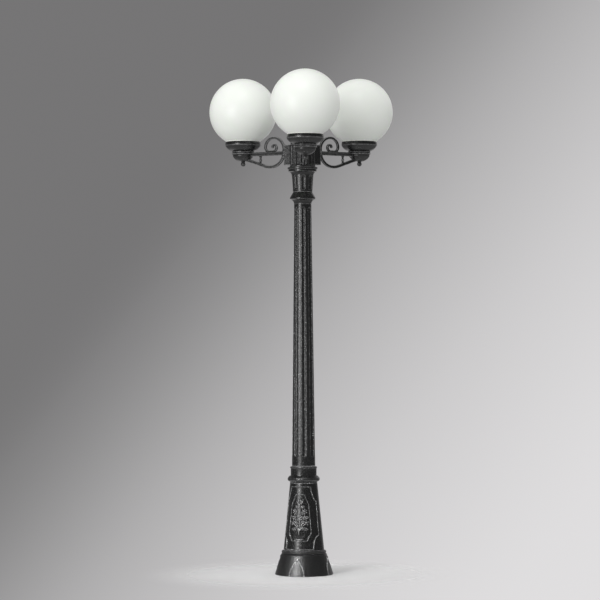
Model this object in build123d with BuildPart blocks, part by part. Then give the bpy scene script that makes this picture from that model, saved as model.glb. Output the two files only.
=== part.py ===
from build123d import *
from math import cos, hypot, radians, sin, sqrt, tan
import os

# An outdoor post light: a bolted-down cast foot and pedestal, a fluted pole, and a head
# that turns on the pole with three scrolled arms, each carrying an opal globe.
# Millimetres, +Z up, origin on the post's axis at ground level, front towards -Y.

# Fits
turning_gap = 0.3  # between pieces that turn against each other
push_gap = 0.2  # round a spigot, tenon, cover or screw in its seat
base_angle = -108.0  # the way the foot's and pedestal's front faces, a little left of the front arm

# Foot
foot_radius = 127.0
foot_neck_radius = 100.0
foot_flare_height = 91.0
foot_wall = 12.0
foot_floor = 12.0
foot_floor_bore = 60.0
foot_groove_depth = 4.0
foot_groove_height = 2.0
foot_band_radius = 98.0
foot_band_height = 13.0
foot_band_bulge = 3.0
foot_top_wall = 12.0
anchor_count = 4
anchor_circle_radius = 85.0
anchor_hole_radius = 6.5

# Arched covers over the anchor nuts
arch_half_width = 37.0
arch_apex = 73.0
arch_border = 8.0
cover_seat_depth = 4.0
cover_field_depth = 1.5
cover_border_rise = 2.0
cover_foot_gap = 1.5
cover_tab_radius = 6.5
cover_tab_height = 78.0
cover_screw_radius = 2.5
cover_screw_head_radius = 4.5
cover_screw_head = 2.5
cover_screw_length = 9.0

# Pedestal
pedestal_radius = 89.3
pedestal_top_radius = 60.0
pedestal_height = 295.0
pedestal_wall = 12.0
pedestal_top_wall = 14.0
pedestal_flange = 10.0
pedestal_spigot_clear = 4.5  # between the bolt heads and the spigot
pedestal_spigot_wall = 6.0
pedestal_spigot_depth = 8.0
panel_count = 2  # front and back
panel_margin = 8.0  # below the panel
panel_top_margin = 17.0
panel_half_angle = 68.0
panel_depth = 3.5
panel_top_scoop = (24.0, 62.0)  # half width and height of the scooped corners
panel_bottom_scoop = (35.0, 60.0)
field_depth = 3.5
field_top_half_width = 19.0
field_shoulder_half_width = 39.0
field_foot_half_width = 52.0
field_bottom_half_width = 37.0
field_top_drop = 50.0  # down from the pedestal's top
field_shoulder_drop = 94.0
field_foot_rise = 78.0  # up from the pedestal's base
field_bottom_rise = 45.0
pedestal_bolt_count = 4
pedestal_nut_clear = 1.8  # between the nuts and the wall
pedestal_bolt_radius = 4.0
pedestal_bolt_head = 5.5
pedestal_nut_height = 6.5
pedestal_hex_radius = 7.5

# Collar at the pole's root
collar_radius = 57.0
collar_bead_radius = 71.0
collar_groove_height = 4.0
collar_bead_height = 26.0
collar_nose_height = 4.0
collar_height = 71.0
collar_lip = 2.5
collar_lip_height = 8.0

# Pole
pole_radius = 51.4
pole_top_radius = 38.3
pole_length = 1156.0
pole_root_radius = 47.0
pole_bore = 24.0
pole_spigot_radius = 32.0
pole_spigot_length = 40.0
pole_top_spigot_radius = 30.0
pole_top_spigot_length = 92.0
flute_count = 8
flute_arc = 23.0
flute_depth = 5.0
flute_start = 55.0  # up from the collar
flute_end = 23.0  # down from the pole's top
flute_angle = -88.5  # on the pole and the capital alike
locknut_height = 12.0
locknut_radius = 42.0
washer_height = 3.0
washer_radius = 45.0

# Neck ring
neck_height = 52.0
neck_bead_radius = 56.6
neck_bead_height = 7.0
neck_bead_rise = 22.0
neck_top_radius = 42.0

# Capital
capital_radius = 43.0
capital_waist_radius = 48.0
capital_waist_height = 73.0
capital_flange_radius = 66.3
capital_flange_height = 18.0
capital_step = 4.0
capital_height = 109.0
capital_spigot_radius = 34.0
capital_spigot_length = 33.0
capital_flute_depth = 4.5
capital_flute_start = 17.5  # up from the capital's base
capital_flute_end = 10.0  # down from the top of its waist
capital_screw_count = 4
capital_screw_drop = 12.0  # down from the end of the pole's spigot
capital_screw_length = 7.0
set_screw_radius = 3.0

# Hub
hub_radius = 50.0
hub_height = 102.0
hub_wall = 8.0
hub_floor = 38.0
hub_ledge_drop = 23.0
hub_ledge_width = 3.0
hub_base_radius = 57.0
hub_base_height = 11.0
hub_rim_radius = 54.0
hub_rim_height = 8.0
rib_count = 15
rib_radius = 4.5
block_width = 30.0
block_reach = 87.0
block_gap = 12.0  # above the capital
block_frame = 5.0
block_recess = 2.5
swivel_screw_rise = 20.0

# Lid
lid_gasket_thickness = 2.0
lid_radius = 54.0
lid_edge = 3.0
lid_rise = 16.0
lid_wall = 4.0
strap_width = 16.0
strap_thickness = 3.0
stud_radius = 3.0
knob_radius = 9.0
knob_neck_radius = 6.0
knob_neck = 5.0
terminal_length = 38.0
terminal_width = 16.0
terminal_height = 13.0
terminal_ways = 3
terminal_hole_radius = 2.5

# Arms
arm_angles = (-90.0, 30.0, 150.0)
arm_reach = 300.0
bar_height = 18.0
bar_width = 18.0
bar_root_width = 28.0
bar_taper_length = 60.0
bar_groove_depth = 2.5
bar_groove_height = 4.0
tenon_length = 26.0
tenon_width = 16.0
tenon_height = 14.0
arm_screw_radius = 3.0
arm_screw_reach = 74.0
scroll_depth = 12.0
scroll_ring_radius = 52.0
scroll_crown_radius = 41.0
scroll_curl_radius = 19.0
scroll_curl_run = 20.0
scroll_eye_radius = 17.0
scroll_eye_crown_radius = 12.0
scroll_tip_radius = 8.0
scroll_end_ball = 6.5
scroll_root_half = 7.0  # half the band's width at the boss
scroll_tip_half = 4.5
scroll_clear = 6.0
scroll_weld = 1.0
belly_drop = 11.0
belly_radius = 66.0
brace_radius = 90.0
brace_slope = 19.0
brace_end = 22.0
knuckle_reach = 211.0
knuckle_radius = 7.0
knuckle_neck = 4.0

# Globe holders, measured down from the rim
rim_rise = 123.5  # of the rim above the capital
holder_radius = 79.5
holder_wall = 3.5
holder_lip = 16.0
holder_waist_drop = 42.0
holder_waist_radius = 47.5
holder_drop = 49.0
dish_radius = 50.0
bead_radius = 50.5
bead_height = 5.0
bead_gap = 2.0
holder_floor = 6.0
holder_ledge = 4.0  # thickness of the ledge under the bayonet ring
boss_bowl_drop = 17.0
boss_bowl_radius = 45.0
boss_height = 39.0
boss_tip_radius = 14.0
stem_radius = 5.0
lead_bore = 3.0
finial_neck_radius = 9.0
finial_neck = 6.0
finial_ball_radius = 10.5
stem_nut_height = 8.0
stem_nut_radius = 10.0
stem_grip = 8.0  # of the stem inside the lampholder

# Bayonet ring and gasket
ring_drop = 16.5
ring_thickness = 3.0
ring_ledge = 6.0
ring_screw_radius = 1.5
ring_screw_head_radius = 2.6
ring_screw_head = 1.6
ring_screw_length = 5.0
lug_count = 3
lug_angle = 20.0
lug_turn = 40.0  # from the locked place to the notches
lug_height = 4.5
lug_reach = 6.0
lug_play = 1.0
lug_ease = 3.0  # on each side of a lug in its notch

# Globes, lampholders and bulbs
globe_radius = 150.0
globe_wall = 3.0
globe_rise = 255.0  # of the globe's centre above the capital
globe_neck_radius = 58.0
lampholder_radius = 20.0
lampholder_foot_radius = 14.0
lampholder_height = 50.0
lampholder_foot_height = 12.0
lampholder_floor = 22.0
cap_radius = 13.2
cap_length = 26.0
cap_tip_radius = 5.0
cap_tip = 2.0
bulb_radius = 30.0
bulb_height = 84.0
bulb_wall = 1.2
bulb_shoulder_angle = 30.0

# Sizes and heights that follow from those above
pedestal_bolt_circle = pedestal_radius - pedestal_wall - pedestal_hex_radius - pedestal_nut_clear
pedestal_spigot_radius = pedestal_bolt_circle - pedestal_hex_radius - pedestal_spigot_clear
band_bottom = foot_flare_height + foot_groove_height
band_top = band_bottom + foot_band_height
foot_height = band_top + foot_groove_height
foot_slope = (foot_radius - foot_neck_radius) / foot_flare_height
pedestal_top = foot_height + pedestal_height
pedestal_slope = (pedestal_radius - pedestal_top_radius) / pedestal_height
pedestal_bolt_angle = base_angle + 180 / pedestal_bolt_count  # midway between the covers
collar_top = pedestal_top + collar_height
pole_top = collar_top + pole_length
spigot_top = pole_top + pole_top_spigot_length
capital_base = pole_top + neck_height
capital_top = capital_base + capital_height
hub_base = capital_top + turning_gap
hub_top = hub_base + hub_height
rim = capital_top + rim_rise
holder_base = rim - holder_drop
bar_top = holder_base
bar_base = bar_top - bar_height
globe_centre = capital_top + globe_rise
lampholder_base = holder_base + holder_floor + stem_nut_height
lampholder_top = lampholder_base + lampholder_height
ring_base = rim - ring_drop - ring_thickness

os.makedirs("parts", exist_ok=True)


def meridian(angle):
    """The half plane through the post's axis: sketch x runs outward and y up."""
    turn = radians(angle)
    return Plane(origin=(0, 0, 0), x_dir=(cos(turn), sin(turn), 0), z_dir=(sin(turn), -cos(turn), 0))


def facing(angle):
    """The upright plane on the post's axis that looks outward at an angle: sketch y runs up."""
    turn = radians(angle)
    return Plane(origin=(0, 0, 0), x_dir=(-sin(turn), cos(turn), 0), z_dir=(cos(turn), sin(turn), 0))


def write_round_the_hub(piece, name):
    """Write one copy of a piece made along +X for each arm."""
    for number, angle in enumerate(arm_angles, start=1):
        with BuildPart() as copy:
            with Locations(Location((0, 0, 0), (0, 0, angle))):
                add(piece)
        copy.part.label = f"{name}_{number}"
        export_step(copy.part, f"parts/{name}_{number}.step")


# Arched covers. Each follows the foot's flare, with a raised border and a screw tab on top.


def arch_outline(inset):
    """A pointed arch seen from outside, drawn in from the cover's edge by an inset."""
    half_width = arch_half_width - inset
    with BuildSketch(facing(0)) as arch:
        with BuildLine():
            sill = Line((-half_width, 0), (half_width, 0))
            TangentArc(sill @ 1, (0, arch_apex - inset), tangent=(0, 1))
            TangentArc(sill @ 0, (0, arch_apex - inset), tangent=(0, 1))
        make_face()
    return arch.sketch


def tab_outline(inset):
    """The round tab above the arch that takes the cover's screw."""
    with BuildSketch(facing(0)) as tab:
        with Locations((0, cover_tab_height)):
            Circle(cover_tab_radius - inset)
    return tab.sketch


def flare_face(height):
    """The foot's outer radius at a height on its flare."""
    return foot_radius - foot_slope * height


def flare_layer(outlines, inner, outer, low):
    """A layer that follows the foot's flare between two offsets from its face, cut to outlines."""
    with BuildPart() as layer:
        for outline in outlines:
            extrude(outline, amount=foot_radius + foot_wall)
        with BuildSketch(meridian(0)):
            Polygon(
                (flare_face(low) + inner, low),
                (flare_face(low) + outer, low),
                (flare_face(foot_height) + outer, foot_height),
                (flare_face(foot_height) + inner, foot_height),
                align=None,
            )
        revolve(axis=Axis.Z, mode=Mode.INTERSECT)
    return layer.part


cover_seat = flare_layer([arch_outline(0), tab_outline(0)], -cover_seat_depth, foot_wall, 0)
cover_plate = flare_layer(
    [arch_outline(push_gap), tab_outline(push_gap)],
    push_gap - cover_seat_depth,
    cover_border_rise,
    cover_foot_gap,
)
cover_field = flare_layer([arch_outline(arch_border)], -cover_field_depth, foot_wall, 0)
cover_window = flare_layer([arch_outline(arch_border)], -2 * foot_wall, 0, foot_floor)
cover_screw_out = flare_face(cover_tab_height) + cover_border_rise


def cover_screw_planes():
    """The plane square to each cover's face at its screw."""
    planes = []
    for place in range(anchor_count):
        turn = radians(base_angle + place * 360 / anchor_count)
        planes.append(
            Plane(
                origin=(cover_screw_out * cos(turn), cover_screw_out * sin(turn), cover_tab_height),
                x_dir=(-sin(turn), cos(turn), 0),
                z_dir=(cos(turn), sin(turn), foot_slope),
            )
        )
    return planes


with BuildPart() as anchor_covers:
    with PolarLocations(0, anchor_count, start_angle=base_angle):
        add(cover_plate)
        add(cover_field, mode=Mode.SUBTRACT)
    with Locations(*cover_screw_planes()):
        Hole(cover_screw_radius + push_gap, depth=cover_screw_length)
anchor_covers.part.label = "anchor_covers"
export_step(anchor_covers.part, "parts/anchor_covers.step")

with BuildPart() as cover_screws:
    with BuildSketch(*cover_screw_planes()):
        Circle(cover_screw_head_radius)
    extrude(amount=cover_screw_head)
    with BuildSketch(*cover_screw_planes()):
        Circle(cover_screw_radius)
    extrude(amount=-cover_screw_length)
cover_screws.part.label = "cover_screws"
export_step(cover_screws.part, "parts/cover_screws.step")

# Foot: a flared bell with an inner floor for the anchor bolts and a banded top.
foot_inner_top = foot_height - foot_top_wall
band_edge = foot_band_radius - foot_band_bulge

with BuildPart() as foot:
    with BuildSketch(meridian(0)):
        with BuildLine():
            flare = Polyline(
                (foot_floor_bore, foot_floor),
                (foot_floor_bore, 0),
                (foot_radius, 0),
                (foot_neck_radius, foot_flare_height),
                (foot_band_radius - foot_groove_depth, foot_flare_height),
                (foot_band_radius - foot_groove_depth, band_bottom),
                (band_edge, band_bottom),
            )
            band = ThreePointArc(
                flare @ 1, (foot_band_radius, (band_bottom + band_top) / 2), (band_edge, band_top)
            )
            Polyline(
                band @ 1,
                (pedestal_radius, band_top),
                (pedestal_radius, foot_height),
                (pedestal_spigot_radius + push_gap, foot_height),
                (pedestal_spigot_radius + push_gap, foot_inner_top),
                (foot_neck_radius - foot_wall, foot_inner_top),
                (foot_neck_radius - foot_wall, foot_flare_height),
                (flare_face(foot_floor) - foot_wall, foot_floor),
                flare @ 0,
            )
        make_face()
    revolve(axis=Axis.Z)
    with PolarLocations(0, anchor_count, start_angle=base_angle):
        add(cover_seat, mode=Mode.SUBTRACT)
        add(cover_window, mode=Mode.SUBTRACT)
    with Locations((0, 0, foot_floor)):
        with PolarLocations(anchor_circle_radius, anchor_count, start_angle=base_angle):
            Hole(anchor_hole_radius, depth=foot_floor)
    with Locations((0, 0, foot_height)):
        with PolarLocations(pedestal_bolt_circle, pedestal_bolt_count, start_angle=pedestal_bolt_angle):
            Hole(pedestal_bolt_radius + push_gap, depth=foot_top_wall)
    with Locations(*cover_screw_planes()):
        Hole(cover_screw_radius, depth=cover_screw_length)
foot.part.label = "foot"
export_step(foot.part, "parts/foot.step")

# Pedestal: a tapered hollow casting with a scooped panel and a sunk field front and back.
panel_low = foot_height + panel_margin
panel_high = pedestal_top - panel_top_margin


def pedestal_layer(depth, low, high):
    """The section of a layer that lies over the pedestal's face down to a depth."""
    with BuildSketch(Plane.XY) as section:
        Polygon(
            (pedestal_face(low) - depth, low),
            (pedestal_face(low) + pedestal_wall, low),
            (pedestal_face(high) + pedestal_wall, high),
            (pedestal_face(high) - depth, high),
            align=None,
        )
    return section.sketch


def pedestal_face(height):
    """The pedestal's outer radius at a height."""
    return pedestal_radius - pedestal_slope * (height - foot_height)


with BuildPart() as panel_cut:
    with BuildSketch(meridian(-panel_half_angle)):
        add(pedestal_layer(panel_depth, panel_low, panel_high))
    revolve(axis=Axis.Z, revolution_arc=2 * panel_half_angle)
    with BuildSketch(facing(-panel_half_angle), facing(panel_half_angle)):
        with Locations((0, panel_high)):
            Ellipse(*panel_top_scoop)
        with Locations((0, panel_low)):
            Ellipse(*panel_bottom_scoop)
    extrude(amount=2 * pedestal_radius, mode=Mode.SUBTRACT)

with BuildPart() as field_cut:
    with BuildSketch(facing(0)):
        with BuildLine():
            edge = Polyline(
                (0, pedestal_top - field_top_drop),
                (field_top_half_width, pedestal_top - field_top_drop),
                (field_shoulder_half_width, pedestal_top - field_shoulder_drop),
                (field_foot_half_width, foot_height + field_foot_rise),
                (field_bottom_half_width, foot_height + field_bottom_rise),
                (0, foot_height + field_bottom_rise),
            )
            mirror(edge, about=Plane.YZ)
        make_face()
    extrude(amount=2 * pedestal_radius)
    with BuildSketch(meridian(0)):
        add(pedestal_layer(panel_depth + field_depth, panel_low, panel_high))
    revolve(axis=Axis.Z, mode=Mode.INTERSECT)

pedestal_bore = pedestal_spigot_radius - pedestal_spigot_wall
pedestal_chamber_top = pedestal_top - pedestal_top_wall

with BuildPart() as pedestal:
    with BuildSketch(meridian(0)):
        Polygon(
            (pedestal_bore, foot_height - pedestal_spigot_depth),
            (pedestal_spigot_radius, foot_height - pedestal_spigot_depth),
            (pedestal_spigot_radius, foot_height),
            (pedestal_radius, foot_height),
            (pedestal_top_radius, pedestal_top),
            (pole_spigot_radius + push_gap, pedestal_top),
            (pole_spigot_radius + push_gap, pedestal_chamber_top),
            (pedestal_face(pedestal_chamber_top) - pedestal_wall, pedestal_chamber_top),
            (pedestal_face(foot_height + pedestal_flange) - pedestal_wall, foot_height + pedestal_flange),
            (pedestal_bore, foot_height + pedestal_flange),
            align=None,
        )
    revolve(axis=Axis.Z)
    with PolarLocations(0, panel_count, start_angle=base_angle):
        add(panel_cut.part, mode=Mode.SUBTRACT)
        add(field_cut.part, mode=Mode.SUBTRACT)
    with Locations((0, 0, foot_height + pedestal_flange)):
        with PolarLocations(pedestal_bolt_circle, pedestal_bolt_count, start_angle=pedestal_bolt_angle):
            Hole(pedestal_bolt_radius + push_gap, depth=pedestal_flange)
pedestal.part.label = "pedestal"
export_step(pedestal.part, "parts/pedestal.step")

# Bolts and nuts that hold the pedestal down on the foot, reached through the arched windows.
with BuildPart() as pedestal_bolts:
    with BuildSketch(Plane.XY.offset(foot_inner_top)):
        with PolarLocations(pedestal_bolt_circle, pedestal_bolt_count, start_angle=pedestal_bolt_angle):
            RegularPolygon(pedestal_hex_radius, 6)
    extrude(amount=-pedestal_bolt_head)
    with BuildSketch(Plane.XY.offset(foot_inner_top)):
        with PolarLocations(pedestal_bolt_circle, pedestal_bolt_count, start_angle=pedestal_bolt_angle):
            Circle(pedestal_bolt_radius)
    extrude(amount=foot_top_wall + pedestal_flange + pedestal_nut_height)
pedestal_bolts.part.label = "pedestal_bolts"
export_step(pedestal_bolts.part, "parts/pedestal_bolts.step")

with BuildPart() as pedestal_nuts:
    with BuildSketch(Plane.XY.offset(foot_height + pedestal_flange)):
        with PolarLocations(pedestal_bolt_circle, pedestal_bolt_count, start_angle=pedestal_bolt_angle):
            RegularPolygon(pedestal_hex_radius, 6)
            Circle(pedestal_bolt_radius, mode=Mode.SUBTRACT)
    extrude(amount=pedestal_nut_height)
pedestal_nuts.part.label = "pedestal_nuts"
export_step(pedestal_nuts.part, "parts/pedestal_nuts.step")

# Collar: a moulded ring round the pole's root, with a bold bead under a plain band.
collar_band_base = pedestal_top + collar_groove_height + collar_bead_height
collar_nose_low = collar_band_base - (collar_bead_height + collar_nose_height) / 2

with BuildPart() as pole_collar:
    with BuildSketch(meridian(0)):
        with BuildLine():
            inside = Polyline(
                (collar_radius + collar_lip, collar_top - collar_lip_height / 2),
                (collar_radius + collar_lip, collar_top - collar_lip),
                (collar_radius, collar_top),
                (pole_root_radius + push_gap, collar_top),
                (pole_root_radius + push_gap, pedestal_top),
                (pedestal_top_radius, pedestal_top),
                (pedestal_top_radius, pedestal_top + collar_groove_height),
            )
            under = RadiusArc(inside @ 1, (collar_bead_radius, collar_nose_low), -collar_bead_height)
            nose = Line(under @ 1, (collar_bead_radius, collar_nose_low + collar_nose_height))
            over = RadiusArc(nose @ 1, (collar_radius, collar_band_base), -collar_bead_height)
            Polyline(over @ 1, (collar_radius, collar_top - collar_lip_height), inside @ 0)
        make_face()
    revolve(axis=Axis.Z)
pole_collar.part.label = "pole_collar"
export_step(pole_collar.part, "parts/pole_collar.step")

# Pole: a tapered casting with rounded flutes, a shoulder on the collar and a spigot at each end.


def pole_face(height):
    """The pole's outer radius at a height."""
    return pole_radius - (pole_radius - pole_top_radius) * (height - collar_top) / pole_length


def round_flute(face, low, high, arc, depth):
    """A round-ended cutter on the +X side for a flute between two heights of a tapered face."""
    half_arc = radians(arc / 2)
    low_radius, high_radius = (
        ((face(height) * sin(half_arc)) ** 2 + depth**2) / (2 * depth) for height in (low, high)
    )
    low_out = face(low) * cos(half_arc) - depth + low_radius
    high_out = face(high) * cos(half_arc) - depth + high_radius
    length = hypot(high_out - low_out, high - low)
    with BuildPart() as cutter:
        with Locations(Plane(origin=(low_out, 0, low), z_dir=(high_out - low_out, 0, high - low))):
            Cone(low_radius, high_radius, length, align=(Align.CENTER, Align.CENTER, Align.MIN))
            Sphere(low_radius)
            with Locations((0, 0, length)):
                Sphere(high_radius)
    return cutter.part


flute_cut = round_flute(pole_face, collar_top + flute_start, pole_top - flute_end, flute_arc, flute_depth)

with BuildPart() as pole:
    with BuildSketch(meridian(0)):
        Polygon(
            (pole_bore, pedestal_top - pole_spigot_length),
            (pole_spigot_radius, pedestal_top - pole_spigot_length),
            (pole_spigot_radius, pedestal_top),
            (pole_root_radius, pedestal_top),
            (pole_root_radius, collar_top),
            (pole_radius, collar_top),
            (pole_top_radius, pole_top),
            (pole_top_spigot_radius, pole_top),
            (pole_top_spigot_radius, spigot_top),
            (pole_bore, spigot_top),
            align=None,
        )
    revolve(axis=Axis.Z)
    with PolarLocations(0, flute_count, start_angle=flute_angle):
        add(flute_cut, mode=Mode.SUBTRACT)
pole.part.label = "pole"
export_step(pole.part, "parts/pole.step")

# Washer and locknut that draw the pole down on the collar from inside the pedestal.
with BuildPart() as pole_washer:
    with BuildSketch(Plane.XY.offset(pedestal_chamber_top)):
        Circle(washer_radius)
        Circle(pole_spigot_radius + push_gap, mode=Mode.SUBTRACT)
    extrude(amount=-washer_height)
pole_washer.part.label = "pole_washer"
export_step(pole_washer.part, "parts/pole_washer.step")

with BuildPart() as pole_locknut:
    with BuildSketch(Plane.XY.offset(pedestal_chamber_top - washer_height)):
        RegularPolygon(locknut_radius, 6)
        Circle(pole_spigot_radius, mode=Mode.SUBTRACT)
    extrude(amount=-locknut_height)
pole_locknut.part.label = "pole_locknut"
export_step(pole_locknut.part, "parts/pole_locknut.step")

# Neck ring: a bold bead between the pole and the capital, threaded over the pole's spigot.
neck_bead_low = pole_top + neck_bead_rise

with BuildPart() as neck_ring:
    with BuildSketch(meridian(0)):
        with BuildLine():
            bore = Polyline(
                (neck_top_radius, capital_base),
                (pole_top_spigot_radius + push_gap, capital_base),
                (pole_top_spigot_radius + push_gap, pole_top),
                (pole_top_radius, pole_top),
            )
            cove = RadiusArc(
                bore @ 1,
                (neck_bead_radius, neck_bead_low),
                hypot(neck_bead_radius - pole_top_radius, neck_bead_rise),
            )
            nose = Line(cove @ 1, (neck_bead_radius, neck_bead_low + neck_bead_height))
            Line(nose @ 1, bore @ 0)
        make_face()
    revolve(axis=Axis.Z)
neck_ring.part.label = "neck_ring"
export_step(neck_ring.part, "parts/neck_ring.step")

# Capital: a waisted casting under a stepped flange, with flutes in line with the pole's, and the
# spigot that the head turns on.
flange_base = capital_top - capital_flange_height
waist_top = capital_base + capital_waist_height
capital_screw_height = spigot_top - capital_screw_drop
capital_screw_angles = [
    flute_angle + 360 / flute_count + place * 360 / capital_screw_count
    for place in range(capital_screw_count)
]


def capital_face(height):
    """The capital's outer radius at a height on its waist."""
    return capital_radius + (capital_waist_radius - capital_radius) * (
        height - capital_base
    ) / capital_waist_height


with BuildPart() as capital_flute_cut:
    add(
        round_flute(
            capital_face,
            capital_base + capital_flute_start,
            waist_top - capital_flute_end,
            flute_arc,
            capital_flute_depth,
        )
    )
    Cylinder(
        capital_waist_radius,
        waist_top,
        align=(Align.CENTER, Align.CENTER, Align.MIN),
        mode=Mode.INTERSECT,
    )

with BuildPart() as capital:
    with BuildSketch(meridian(0)):
        with BuildLine():
            stack = Polyline(
                (capital_waist_radius, waist_top),
                (capital_radius, capital_base),
                (pole_top_spigot_radius + push_gap, capital_base),
                (pole_top_spigot_radius + push_gap, spigot_top),
                (pole_bore, spigot_top),
                (pole_bore, capital_top + capital_spigot_length),
                (capital_spigot_radius, capital_top + capital_spigot_length),
                (capital_spigot_radius, capital_top),
                (capital_flange_radius, capital_top),
                (capital_flange_radius, capital_top - capital_flange_height / 2),
                (capital_flange_radius - capital_step, capital_top - capital_flange_height / 2),
                (capital_flange_radius - capital_step, flange_base),
            )
            RadiusArc(
                stack @ 1,
                stack @ 0,
                -hypot(
                    capital_flange_radius - capital_step - capital_waist_radius,
                    flange_base - waist_top,
                ),
            )
        make_face()
    revolve(axis=Axis.Z)
    with PolarLocations(0, flute_count, start_angle=flute_angle):
        add(capital_flute_cut.part, mode=Mode.SUBTRACT)
    with Locations(*[facing(angle) for angle in capital_screw_angles]):
        with Locations((0, capital_screw_height, capital_waist_radius)):
            Hole(set_screw_radius, depth=capital_waist_radius - pole_top_spigot_radius)
capital.part.label = "capital"
export_step(capital.part, "parts/capital.step")

# Set screws that hold the capital on the pole's spigot, sunk in every second flute.
with BuildPart() as capital_screws:
    with Locations(*[facing(angle) for angle in capital_screw_angles]):
        with Locations((0, capital_screw_height, pole_top_spigot_radius + push_gap)):
            Cylinder(
                set_screw_radius,
                capital_screw_length,
                align=(Align.CENTER, Align.CENTER, Align.MIN),
            )
capital_screws.part.label = "capital_screws"
export_step(capital_screws.part, "parts/capital_screws.step")

# Hub: a ribbed drum that turns on the capital's spigot, with a wiring chamber under its lid
# and three framed blocks whose mortises take the arms.
hub_bore = capital_spigot_radius + turning_gap
hub_chamber = hub_radius - hub_wall
hub_chamber_base = hub_base + hub_floor
hub_ledge = hub_top - hub_ledge_drop
block_base = capital_top + block_gap
block_middle = (block_base + hub_top) / 2
block_middle_out = (hub_radius + block_reach) / 2
bar_middle = (bar_base + bar_top) / 2
swivel_angles = [angle + 180 / len(arm_angles) for angle in arm_angles]

with BuildPart() as hub:
    with BuildSketch(meridian(0)):
        Polygon(
            (hub_bore, hub_base),
            (hub_base_radius, hub_base),
            (hub_base_radius, hub_base + hub_base_height / 2),
            (hub_radius, hub_base + hub_base_height),
            (hub_radius, hub_top - hub_rim_height),
            (hub_rim_radius, hub_top - hub_rim_height / 2),
            (hub_rim_radius, hub_top),
            (hub_bore, hub_top),
            align=None,
        )
    revolve(axis=Axis.Z)
    with Locations((0, 0, hub_base + hub_base_height / 2)):
        with PolarLocations(hub_radius, rib_count, start_angle=arm_angles[0]):
            Cylinder(
                rib_radius,
                hub_height - (hub_base_height + hub_rim_height) / 2,
                align=(Align.CENTER, Align.CENTER, Align.MIN),
            )
    for angle in arm_angles:
        with Locations(facing(angle)):
            with Locations((0, block_middle, block_reach)):
                Box(
                    block_width,
                    hub_top - block_base,
                    block_reach - hub_bore,
                    align=(Align.CENTER, Align.CENTER, Align.MAX),
                )
            with Locations(
                (block_width / 2, block_middle, block_middle_out),
                (-block_width / 2, block_middle, block_middle_out),
            ):
                Box(
                    2 * block_recess,
                    hub_top - block_base - 2 * block_frame,
                    block_reach - hub_radius - 2 * block_frame,
                    mode=Mode.SUBTRACT,
                )
            with Locations((0, bar_middle, block_reach)):
                Box(
                    tenon_width + 2 * push_gap,
                    tenon_height + 2 * push_gap,
                    tenon_length + push_gap,
                    align=(Align.CENTER, Align.CENTER, Align.MAX),
                    mode=Mode.SUBTRACT,
                )
    with BuildSketch(Plane.XY.offset(hub_chamber_base)):
        Circle(hub_chamber)
    extrude(amount=hub_ledge - hub_chamber_base, mode=Mode.SUBTRACT)
    with BuildSketch(Plane.XY.offset(hub_ledge)):
        Circle(hub_chamber + hub_ledge_width)
    extrude(amount=hub_ledge_drop, mode=Mode.SUBTRACT)
    with Locations(*[facing(angle) for angle in swivel_angles]):
        with Locations((0, hub_base + swivel_screw_rise, hub_radius + rib_radius)):
            Hole(set_screw_radius, depth=hub_radius + rib_radius - hub_bore)
    for angle in arm_angles:
        with Locations(meridian(angle)):
            with Locations((arm_screw_reach, block_base, 0)):
                with Locations(Rotation(90, 0, 0)):
                    Hole(arm_screw_radius, depth=bar_middle - block_base)
hub.part.label = "hub"
export_step(hub.part, "parts/hub.step")

# Set screws that lock the head on the capital's spigot, and those that hold the arms' tenons.
with BuildPart() as swivel_screws:
    with Locations(*[facing(angle) for angle in swivel_angles]):
        with Locations((0, hub_base + swivel_screw_rise, hub_bore + turning_gap)):
            Cylinder(
                set_screw_radius,
                hub_radius - hub_bore,
                align=(Align.CENTER, Align.CENTER, Align.MIN),
            )
swivel_screws.part.label = "swivel_screws"
export_step(swivel_screws.part, "parts/swivel_screws.step")

with BuildPart() as arm_screws:
    with Locations((0, 0, block_base)):
        with PolarLocations(arm_screw_reach, len(arm_angles), start_angle=arm_angles[0]):
            Cylinder(
                arm_screw_radius,
                bar_middle - tenon_height / 2 - block_base,
                align=(Align.CENTER, Align.CENTER, Align.MIN),
            )
arm_screws.part.label = "arm_screws"
export_step(arm_screws.part, "parts/arm_screws.step")

# Lid: a low dome on a gasket, held by a knob whose stud screws into a strap across the hub.
lid_base = hub_top + lid_gasket_thickness
lid_crown = lid_base + lid_edge + lid_rise
knob_centre = lid_crown + knob_neck + sqrt(knob_radius**2 - knob_neck_radius**2)

with BuildPart() as lid_gasket:
    with BuildSketch(Plane.XY.offset(hub_top)):
        Circle(hub_radius)
        Circle(hub_chamber + hub_ledge_width, mode=Mode.SUBTRACT)
    extrude(amount=lid_gasket_thickness)
lid_gasket.part.label = "lid_gasket"
export_step(lid_gasket.part, "parts/lid_gasket.step")

with BuildPart() as hub_lid:
    with BuildSketch(meridian(0)):
        with BuildLine():
            edge = Polyline(
                (stud_radius + push_gap, lid_crown - lid_wall),
                (stud_radius + push_gap, lid_crown),
                (knob_radius, lid_crown),
            )
            dome = TangentArc(edge @ 1, (lid_radius, lid_base + lid_edge), tangent=(1, 0))
            skirt = Polyline(
                dome @ 1,
                (lid_radius, lid_base),
                (hub_chamber + hub_ledge_width, lid_base),
            )
            TangentArc(edge @ 0, skirt @ 1, tangent=(1, 0))
        make_face()
    revolve(axis=Axis.Z)
hub_lid.part.label = "hub_lid"
export_step(hub_lid.part, "parts/hub_lid.step")

with BuildPart() as lid_strap:
    with BuildSketch(Plane.XY.offset(hub_ledge)):
        Rectangle(2 * (hub_chamber + hub_ledge_width), strap_width)
        Circle(hub_chamber + hub_ledge_width - push_gap, mode=Mode.INTERSECT)
        Circle(stud_radius, mode=Mode.SUBTRACT)
    extrude(amount=strap_thickness)
lid_strap.part.label = "lid_strap"
export_step(lid_strap.part, "parts/lid_strap.step")

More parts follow.
